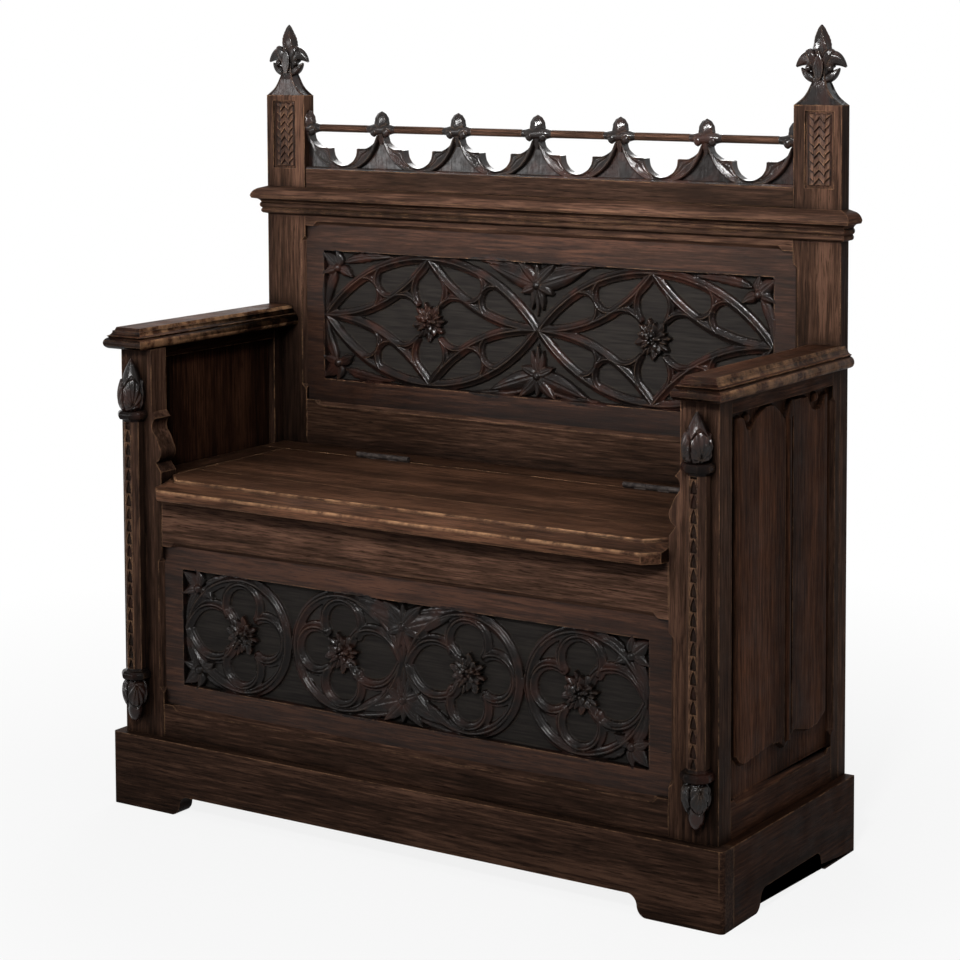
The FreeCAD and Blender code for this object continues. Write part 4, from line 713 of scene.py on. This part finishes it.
def fold_panel(side, name):
    """Folded parchment: raised wings with hooked ends and a middle rib."""
    panel = Relief((-147, 155), (170, 690), 1.5)
    u, v = panel.u - FOLD_SHIFT, panel.v
    top = np.interp(u, *zip(*FOLD_TOP))
    low = np.interp(u, *zip(*FOLD_BOTTOM))
    edge = np.minimum(np.minimum(top - v, v - low), np.minimum(u + 136, 139 - u))
    raised = np.clip(edge / 2.2, 0, 1)
    wave = 1.6 * np.cos((u - FOLD_RIB) / 42) ** 2
    high = raised * (FOLD_RISE + wave * np.clip(edge / 14, 0, 1)) - 1.5 * (1 - raised)
    for curl_u, curl_v in FOLD_CURLS:
        curl = np.hypot((u - curl_u) / 9, (v - curl_v) / 7)
        dome = 5 * np.sqrt(np.clip(1 - curl ** 2, 0, 1))
        high = np.where(curl < 1, np.maximum(high, dome), high)
    away = np.abs(u - FOLD_RIB)
    roll = 3.4 * np.sqrt(np.clip(1 - (away / 6.5) ** 2, 0, 1))
    rib = FOLD_RISE + roll - 1.6 * np.exp(-((away - 8) / 1.5) ** 2)
    high = np.where((v > 205) & (v < 655) & (away < 11), rib, high)
    border = (panel.u < -139) | (panel.u > 162) | (v < 163) | (v > 682)
    panel.h[:] = np.where(border, 0.0, high)
    if side < 0:
        panel.u = -panel.u[:, ::-1]
        panel.v, panel.h = panel.v[:, ::-1], panel.h[:, ::-1]
    solid = panel.solid((side * SIDE_FACE, 0, 0), (0, side, 0), (0, 0, 1), (side, 0, 0), SIDE_THICK)
    make_piece(f"side_folded_board_{name}", [solid], "case", SIDE_BOARD, None, False,
               (f"side_panel_{name}",))


for side, side_name in SIDES:
    fold_panel(side, side_name)


# Front board of the lid; each ring has its distance in from the edge, its level and its wear
NOSING = ((40, 483, 0), (1.5, 483, 0), (0.4, 484.5, 0), (0, 487, 0), (0, 493.5, 0), (0.3, 496.4, 0.5),
          (1.2, 498.2, 1), (2.6, 498.9, 0.7), (4.5, 498.7, 0), (9, 499.4, 0), (15, 501.4, 0), (21, 504.2, 0),
          (25, 506.2, 0), (27, 506.6, 0), (28, 506.2, 0), (28.6, 507.6, 0.1), (29, 509.8, 0.6),
          (29.8, 510.7, 1), (31.4, 511, 0.8), (33, 511, 0), (40, 511, 0))
WORN_CORNERS = (0, 0, 1, 1, 0, 0)
LID_HALF = 437.0
LID_SEAM = -93.0
LID_FRONT = -210.0
LID_CANT = 20.0


def nosing_ring(inward, level):
    side_y = LID_FRONT + LID_CANT + inward * math.sqrt(2)
    corner_x = LID_HALF - LID_CANT + inward * (1 - math.sqrt(2))
    return [(-LID_HALF, LID_SEAM, level), (-LID_HALF, side_y, level), (-corner_x, LID_FRONT + inward, level),
            (corner_x, LID_FRONT + inward, level), (LID_HALF, side_y, level), (LID_HALF, LID_SEAM, level)]


nosing = tube([nosing_ring(inward, level) for inward, level, _ in NOSING])
nosing_wear = np.outer([wear for _, _, wear in NOSING], WORN_CORNERS).ravel()
make_piece("lid_front_board_wood", [nosing], "seat_lid", SEAT[X_AXIS], {"rub": nosing_wear},
           replaced=("lid_front_board",), sharp=40)


# Turned and leafy forms
def lathe(centre, profile, columns=48, ripple=None, flat_y=None, squash=1.0, axis="z"):
    """Rings about an upright or a level axis; ripple(turn, share) scales the radius."""
    turns = np.linspace(0, math.tau, columns, endpoint=False)
    rings = []
    for number, (radius, level) in enumerate(profile):
        share = number / (len(profile) - 1)
        r = radius * (ripple(turns, share) if ripple else np.ones(columns))
        a, b = r * np.cos(turns), r * np.sin(turns) * squash
        if axis == "z":
            ring = np.stack((centre[0] + a, centre[1] + b, np.full(columns, centre[2] + level)), axis=-1)
        else:
            ring = np.stack((np.full(columns, centre[0] + level), centre[1] + b, centre[2] + a), axis=-1)
        if flat_y is not None:
            ring[:, 1] = np.minimum(ring[:, 1], flat_y)
        rings.append(ring)
    return tube(rings)


def smooth_profile(knots, count=40):
    """Many radius and level pairs through a few knots, on a smooth curve."""
    knots = np.array(knots, dtype=float)
    steps = np.concatenate(([0], np.cumsum(np.hypot(*np.diff(knots, axis=0).T))))
    fine = np.linspace(0, steps[-1], count)
    slopes = np.gradient(knots, steps, axis=0)
    out = []
    for t in fine:
        i = min(max(int(np.searchsorted(steps, t)) - 1, 0), len(steps) - 2)
        h = steps[i + 1] - steps[i]
        s = (t - steps[i]) / h
        out.append((2 * s ** 3 - 3 * s ** 2 + 1) * knots[i] + (s ** 3 - 2 * s ** 2 + s) * h * slopes[i]
                   + (3 * s ** 2 - 2 * s ** 3) * knots[i + 1] + (s ** 3 - s ** 2) * h * slopes[i + 1])
    return [(max(r, 0.3), z) for r, z in out]


def horn(path, widths, depth, columns=20, vein=0.18):
    """A leaf in the round: oval sections along a curve in the XZ plane, with a vein on the front."""
    path = np.asarray(path, dtype=float)
    tangents = np.gradient(path, axis=0)
    rings = []
    turns = np.linspace(0, math.tau, columns, endpoint=False)
    for (x, y, z), (tx, _, tz), width, thick in zip(path, tangents, widths, depth):
        size = math.hypot(tx, tz) or 1
        nx, nz = -tz / size, tx / size
        c, s = np.cos(turns), np.sin(turns)
        groove = 1 - vein * np.exp(-(c / 0.22) ** 2)
        rings.append(np.stack((x + nx * c * width, y + s * thick * groove, z + nz * c * width), axis=-1))
    return tube(rings)


def petal_ripple(count, depth, twist):
    return lambda turns, share: 1 - depth * np.abs(np.sin(count / 2 * (turns + twist * share))) ** 0.7


# Gallery
BAYS = 6
PITCH = 146.33
CREST = 958.0
RAIL_Z = 1024.0
GALLERY_Y = (187.0, 207.0)
GALLERY_MIDDLE = 197.0
GALLERY_END = 439
KNOP_END = 439.5
BAY_RADIUS = 68.0
BAY_Z = 1026.0
OPENING = ((10, 68.5), (20, 66.3), (28, 61.8), (35.5, 56.6), (41.7, 49.8), (47, 45.3), (50.5, 44.2),
           (54, 47.5), (60, 52.5), (69, 57.4), (80, 60.5), (90, 61.5))
KNOP_BUD = smooth_profile(((4.5, 1000), (7.5, 1008), (10, 1016), (12.8, 1025), (13.6, 1034), (12, 1042),
                           (8, 1048.5), (1, 1052.8)))
KNOP_COLLAR = smooth_profile(((6.1, -27), (6.6, -22), (8.4, -15), (9.6, -8), (9.8, 0), (9.6, 8), (8.4, 15),
                              (6.6, 22), (6.1, 27)), 28)
KNOP_CURL = smooth_profile(((0.8, -8), (5.4, -5.4), (7.4, 0), (5.8, 5), (0.8, 8)), 16)
FOOT = ((187.4, 0), (207, 0), (207, 3.4), (188.4, 3.4), (187.4, 2.4))


def gallery_bay(middle):
    """The cusped lower half of a bay: a roll along a round arc, a hollow leaf and a thin upper edge."""
    half = np.linspace(10, 90, 90)
    turns = np.concatenate((half, 180 - half[-2::-1]))
    radii = np.interp(np.minimum(turns, 180 - turns), *zip(*OPENING))
    shares = np.linspace(0, 1, 22)
    rings = []
    for turn, inner in zip(turns, radii):
        outer = BAY_RADIUS + 3.4
        radius = outer + (inner - outer) * shares
        across = outer - radius
        roll = np.sqrt(np.clip(1 - ((across - 3.4) / 3.6) ** 2, 0, 1)) * 6.5
        band = outer - inner
        t = np.clip((across - 7) / max(band - 7, 1), 0, 1)
        hollow = 3.0 + 6.0 * np.abs(t - 0.45) ** 1.3
        leaf_line = 1.8 * np.exp(-((t - 0.5) / 0.12) ** 2)
        front_y = GALLERY_Y[0] + 8.5 - np.maximum(roll, np.where(across > 5, hollow + leaf_line, 0))
        back_y = np.full(len(shares), GALLERY_Y[1] - 1.0)
        angle = math.radians(turn)
        radius_all = np.concatenate((radius, radius[::-1]))
        depth_all = np.concatenate((front_y, back_y))
        rings.append(np.stack((middle - radius_all * math.cos(angle), depth_all,
                               BAY_Z - radius_all * math.sin(angle)), axis=-1))
    return tube(rings)


def spandrel(index):
    """The plain board below the arcs, one bay wide round each knop."""
    knop_x = index * PITCH - GALLERY_END
    low = max(knop_x - PITCH / 2, -GALLERY_END)
    high = min(knop_x + PITCH / 2, GALLERY_END)
    xs = np.linspace(low, high, 40)
    middle = np.where(xs < knop_x, knop_x - PITCH / 2, knop_x + PITCH / 2)
    reach = np.clip(BAY_RADIUS ** 2 - (xs - middle) ** 2, 0, None)
    tops = np.where(np.abs(xs - middle) < BAY_RADIUS, BAY_Z - np.sqrt(reach), BAY_Z)
    rings = [[(x, y, z) for y, z in ((GALLERY_Y[0] + 10, CREST), (GALLERY_Y[1], CREST), (GALLERY_Y[1], top),
                                     (GALLERY_Y[0] + 10, top))] for x, top in zip(xs, tops)]
    return tube(rings)


def knop(index):
    """A leafy bud above the rail and its flared collar on the rail, cut off at the ends of the gallery."""
    x = index * PITCH - GALLERY_END
    parts = [lathe((x, GALLERY_MIDDLE, 0), KNOP_BUD, ripple=petal_ripple(6, 0.16, 0.9), squash=0.72),
             lathe((x, GALLERY_MIDDLE, RAIL_Z), KNOP_COLLAR, 24, axis="x")]
    for hand in (-1, 1):
        place = (x + hand * 12.5, GALLERY_MIDDLE - 4.5, RAIL_Z - 4)
        parts.append(lathe(place, KNOP_CURL, 24, petal_ripple(4, 0.2, 1.4)))
    for points, _, _ in parts:
        points[:, 0] = np.clip(points[:, 0], -KNOP_END, KNOP_END)
    return parts


gallery_parts = [gallery_bay((index + 0.5) * PITCH - GALLERY_END) for index in range(BAYS)]
gallery_parts += [spandrel(index) for index in range(BAYS + 1)]
for index in range(BAYS + 1):
    gallery_parts += knop(index)
foot = [[(x, y, CREST + rise) for y, rise in FOOT] for x in (-GALLERY_END, GALLERY_END)]
gallery_parts.append(tube(foot))
make_piece("gallery_carved", gallery_parts, "case", CARVED, replaced=("gallery",))


# Finials
LEAF_HORNS = (
    (((3, 36), (10, 84), (39, 54)), 12.5, 8.5, 1.0),
    (((4, 34), (18, 38), (30, 52)), 6.5, 7.5, 3.0),
    (((6, 50), (12, 80), (23, 74)), 7.0, 7.0, 4.5),
)


FINIAL_X = 477.0
FINIAL_Y = 197.5
FINIAL_DEPTH = (185.2, 209.8)
SHOULDER = 1076.0
LEAF_POINTS = 22
# The outline of the neck crosses itself at its four corners
NECK_RING = ((-0.86, -1), (-1, -0.86), (1, -0.86), (0.86, -1), (0.86, 1), (1, 0.86), (-1, 0.86), (-0.86, 1))
NECK = smooth_profile(((37.8, 0.05), (31.5, 4.5), (23.5, 11), (17.5, 19), (13, 28), (9.6, 38), (8.6, 46),
                       (10, 52)), 26)
FINIAL_BUD = smooth_profile(((8, 40), (11, 46), (13.5, 56), (14.5, 68), (15.5, 80), (13.5, 92), (8.5, 103),
                             (4.5, 110), (1, 113.6)), 44)
FINIAL_KNOT = smooth_profile(((0.6, -5), (3.8, -3.4), (5, 0), (3.8, 3.4), (0.6, 5)), 12)


def finial(side, name):
    """A flared neck, a ribbed bud, three pairs of curling leaves and one leaf in front."""
    x = FINIAL_X * side
    neck = []
    for half, level in NECK:
        deep = min(12.4, 5.2 + half * 0.5)
        neck.append([(x + u * half, FINIAL_Y + v * deep, SHOULDER + level) for u, v in NECK_RING])
    parts = [tube(neck),
             lathe((x, FINIAL_Y, SHOULDER), FINIAL_BUD, 60, petal_ripple(5, 0.24, 1.4), squash=0.78)]
    swell = np.sin(np.pi * (0.1 + 0.88 * np.linspace(0, 1, LEAF_POINTS)))
    for hand in (-1, 1):
        for steps, width, thick, forward in LEAF_HORNS:
            curve = bend(*mirrored(steps, (x, SHOULDER), hand, 1), LEAF_POINTS)
            path = [(a, FINIAL_Y - forward, b) for a, b in curve]
            parts.append(horn(path, width * swell ** 0.8 + 0.3, thick * swell ** 0.6 + 0.3))
        parts.append(lathe((x + hand * 17, FINIAL_Y - 7.5, SHOULDER + 52), FINIAL_KNOT, 16))
    front_leaf = bend((SHOULDER + 36, -10.5), (SHOULDER + 56, -13), (SHOULDER + 76, -8), LEAF_POINTS)
    path = [(x, FINIAL_Y + b, a) for a, b in front_leaf]
    parts.append(horn(path, 7.5 * swell ** 0.8 + 0.3, np.full(LEAF_POINTS, 3.2)))
    for points, _, _ in parts:
        points[:, 1] = np.clip(points[:, 1], *FINIAL_DEPTH)
    make_piece(f"finial_carved_{name}", parts, "case", CARVED, replaced=(f"finial_{name}",))


for side, side_name in SIDES:
    finial(side, side_name)


# Pilasters with their buds and drops
SHAFT_X = 487.0
SHAFT_LOW = 211.0
SHAFT_DEEP = 20.5
SHAFT_BACK = 1.5
FACET_HALF = 6.25
FACET_SLOPE = 8.5
COLLAR = 13
ARCH_PITCH = 19.5
POST_FRONT = -173.0
AXIS_Y = -182.6
BUD_TOP = 689.5
BUD_HIGH = 79.5
BUD_LOW = {"left": 610.0, "right": 622.0}
BUD = ((13, -1), (18, 6), (20.5, 17), (20.8, 29), (18.6, 41), (14.4, 53), (9, 65), (4, 74), (0.8, 79.5))
DROP = smooth_profile(((13, 199), (18.2, 193), (20, 184), (19.4, 172), (15.6, 161), (12.6, 155), (12.8, 150),
                       (11.4, 143), (7.4, 136), (2, 131.6)), 90)


def curled_leaves(turns, share):
    """Four ridged leaves round the lower part of a bud, deep lines between them and a smooth cap above."""
    wave = (turns * 4 / math.tau) % 1 - 0.5
    away = np.abs(wave) * 2
    limit = 0.6 - 0.2 * away ** 2
    fan = np.arctan2(share * 1.3 - 0.12, wave)
    ridges = 0.035 * np.cos(fan * 13)
    leaf_scale = 1 + ridges - 0.15 * np.clip((away - 0.86) / 0.1, 0, 1)
    groove = 0.14 * np.exp(-((share - limit - 0.03) / 0.025) ** 2)
    return np.where(share < limit, leaf_scale, 0.9 - groove)


def pilaster(high):
    """A half-octagon shaft between two collars, with overlapping leaves sunk in its narrow front facet."""
    shaft = Relief((-23, SHAFT_LOW - COLLAR), (23, high + COLLAR), 0.7)
    u, v = np.abs(shaft.u), shaft.v
    past = np.maximum(SHAFT_LOW - v, v - high)
    share = np.clip(past / COLLAR, 0, 1)
    grow = np.where(past > 0, 3.6 + 4.2 * np.sqrt(np.clip(np.sin(np.pi * share), 0, 1)), 0)
    grow = np.where((past > -3) & (past <= 0), (3 + past) * 0.7, grow)
    facet = FACET_HALF + grow / 2
    depth = SHAFT_DEEP + grow - np.clip(u - facet, 0, None)
    shaft.h[:] = np.where(u < facet + FACET_SLOPE + grow / 2, depth, -0.5)
    rise = (v - SHAFT_LOW) / ARCH_PITCH % 1
    arch = 5.0 * np.clip(1 - rise ** 2.4, 0, 1)
    hollow = 3.0 * np.clip((arch - u) / 1.3, 0, 1) * np.clip(rise / 0.06, 0, 1)
    edge = 0.9 * np.exp(-((arch + 1.6 - u) / 0.6) ** 2)
    cut = np.clip((6.0 - u) / 0.5, 0, 1) * np.clip((-past - 4) / 2, 0, 1)
    shaft.h[:] -= (0.7 + hollow + edge) * cut
    shaft.carve[:] = np.where(past > -4, 1.0, cut * np.clip(hollow / 2, 0, 0.8))
    return shaft


for side, side_name in SIDES:
    x = side * SHAFT_X
    bud_low = BUD_LOW[side_name]
    shaft = pilaster(bud_low - COLLAR)
    solid = shaft.forward(x, POST_FRONT, SHAFT_BACK)
    make_piece(f"pilaster_shaft_{side_name}", [solid], "case", SHAFT, shaft.layers(), False,
               (f"pilaster_{side_name}",), 36)
    stretch = (BUD_TOP - bud_low) / BUD_HIGH
    bud = smooth_profile([(radius, bud_low + level * stretch) for radius, level in BUD], 90)
    for kind, profile, nodes in (("bud", bud, (f"pilaster_bud_{side_name}",)), ("drop", DROP, ())):
        leafy = lathe((x, AXIS_Y, 0), profile, 180, curled_leaves, POST_FRONT + 1)
        make_piece(f"pilaster_{kind}_carved_{side_name}", [leafy], "case", CARVED,
                   replaced=nodes)

# Small carved panels on the rear posts
PLATE_HALF = 22
PLATE_LOW = 958.6
PLATE_HIGH = 1066.4
PLATE_X = 479.5
PLATE_Y = 187.6
MIDDLE_HALF = 8.6

plate = Relief((-PLATE_HALF, PLATE_LOW), (PLATE_HALF, PLATE_HIGH), 0.7)
away = np.abs(plate.u)
inside = np.minimum(PLATE_HALF - away, np.minimum(plate.v - PLATE_LOW, PLATE_HIGH - plate.v))
in_middle = away < MIDDLE_HALF
slant = np.where(in_middle, plate.v - 960 + away * 1.1, plate.v - 955 - (away - MIDDLE_HALF) * 0.9)
row = slant / 12.4 % 1
body = np.where(in_middle, 1.0, np.clip(1 - ((away - 12.6) / 4.6) ** 2, 0, 1))
leaves = (0.3 + 2.2 * (1 - row) ** 0.7 * body) * np.clip((0.92 - row) / 0.1, 0, 1)
plate.h[:] = np.where(away < 17.4, leaves - 0.9 * np.exp(-(away / 0.8) ** 2), 0.2)
plate.h[:] *= np.clip((inside - 2.5) / 1.5, 0, 1)
plate.carve[:] = np.clip(1.2 - plate.h / 1.4, 0, 1)
for side, side_name in SIDES:
    solid = plate.forward(side * PLATE_X, PLATE_Y, 1.5)
    make_piece(f"post_leaves_{side_name}", [solid], "case", SHAFT, plate.layers(), False)

# Floor, light and camera
FLOOR_REACH = 14.0
floor_material, floor_tree = new_material("pale_floor")
matte = add_node(floor_tree, "BsdfDiffuse", {"Color": (0.6, 0.6, 0.6, 1)})
white = add_node(floor_tree, "Emission", {"Strength": 1.0})
floor_place = add_node(floor_tree, "NewGeometry").outputs["Position"]
floor_away = add_node(floor_tree, "VectorMath", {0: floor_place}, operation="LENGTH").outputs["Value"]
floor_share = math_node(floor_tree, "MULTIPLY", seen_plainly(floor_tree),
                        spread(floor_tree, floor_away, 0.6, 1.8, 0.86, 1.0))
floor_mix = add_node(floor_tree, "MixShader", {0: floor_share, 1: matte.outputs[0], 2: white.outputs[0]})
add_node(floor_tree, "OutputMaterial", {"Surface": floor_mix.outputs[0]})
floor_mesh = bpy.data.meshes.new("floor")
floor_corners = [(x * FLOOR_REACH, y * FLOOR_REACH, 0) for x, y in ((-1, -1), (1, -1), (1, 1), (-1, 1))]
floor_mesh.from_pydata(floor_corners, [], [(0, 1, 2, 3)])
floor_mesh.materials.append(floor_material)
floor = place_object("floor", floor_mesh)

world = bpy.data.worlds.new("studio")
world.use_nodes = True
world_tree = world.node_tree
world_tree.nodes.clear()
sky_strength = spread(world_tree, seen_plainly(world_tree), 0.0, 1.0, 0.22, 1.0)
sky = add_node(world_tree, "Background", {"Color": (1, 1, 1, 1), "Strength": sky_strength})
add_node(world_tree, "OutputWorld", {"Surface": sky.outputs[0]})
bpy.context.scene.world = world


def area_lamp(name, place, target, size, power, spread_degrees=180):
    lamp = bpy.data.lights.new(name, "AREA")
    lamp.spread = math.radians(spread_degrees)
    lamp.shape = "RECTANGLE"
    lamp.size, lamp.size_y = size
    lamp.energy = power
    made = place_object(name, lamp)
    direction = np.array(target) - np.array(place)
    flat = math.hypot(direction[0], direction[1])
    made.location = place
    made.rotation_euler = (math.atan2(flat, -direction[2]), 0, math.atan2(-direction[0], direction[1]))


area_lamp("key", (1.25, -2.6, 2.3), (0, 0, 0.65), (0.36, 0.36), 80)
area_lamp("fill", (-2.4, -2.9, 1.1), (0, 0, 0.5), (1.0, 1.0), 30)
area_lamp("top", (0.1, -0.6, 3.0), (0, 0, 0.6), (1.6, 1.2), 12)
area_lamp("behind", (-1.6, 2.8, 2.2), (0, 0, 0.6), (1.6, 1.6), 45)
area_lamp("upper", (0.2, -2.2, 1.9), (0, 0.2, 1.2), (0.5, 0.4), 12, 46)

camera_data = bpy.data.cameras.new("camera")
camera_data.sensor_width = 36
camera_data.lens = 93.843
camera_data.shift_x = -0.0608
camera_data.shift_y = -0.2818
camera_data.clip_end = 60
camera = place_object("camera", camera_data)
camera.location = (2.0458, -3.0130, 1.2003)
camera.rotation_euler = (math.radians(85.614), math.radians(0.131), math.radians(32.493))
bpy.context.scene.camera = camera
bpy.context.scene.view_settings.view_transform = "Standard"
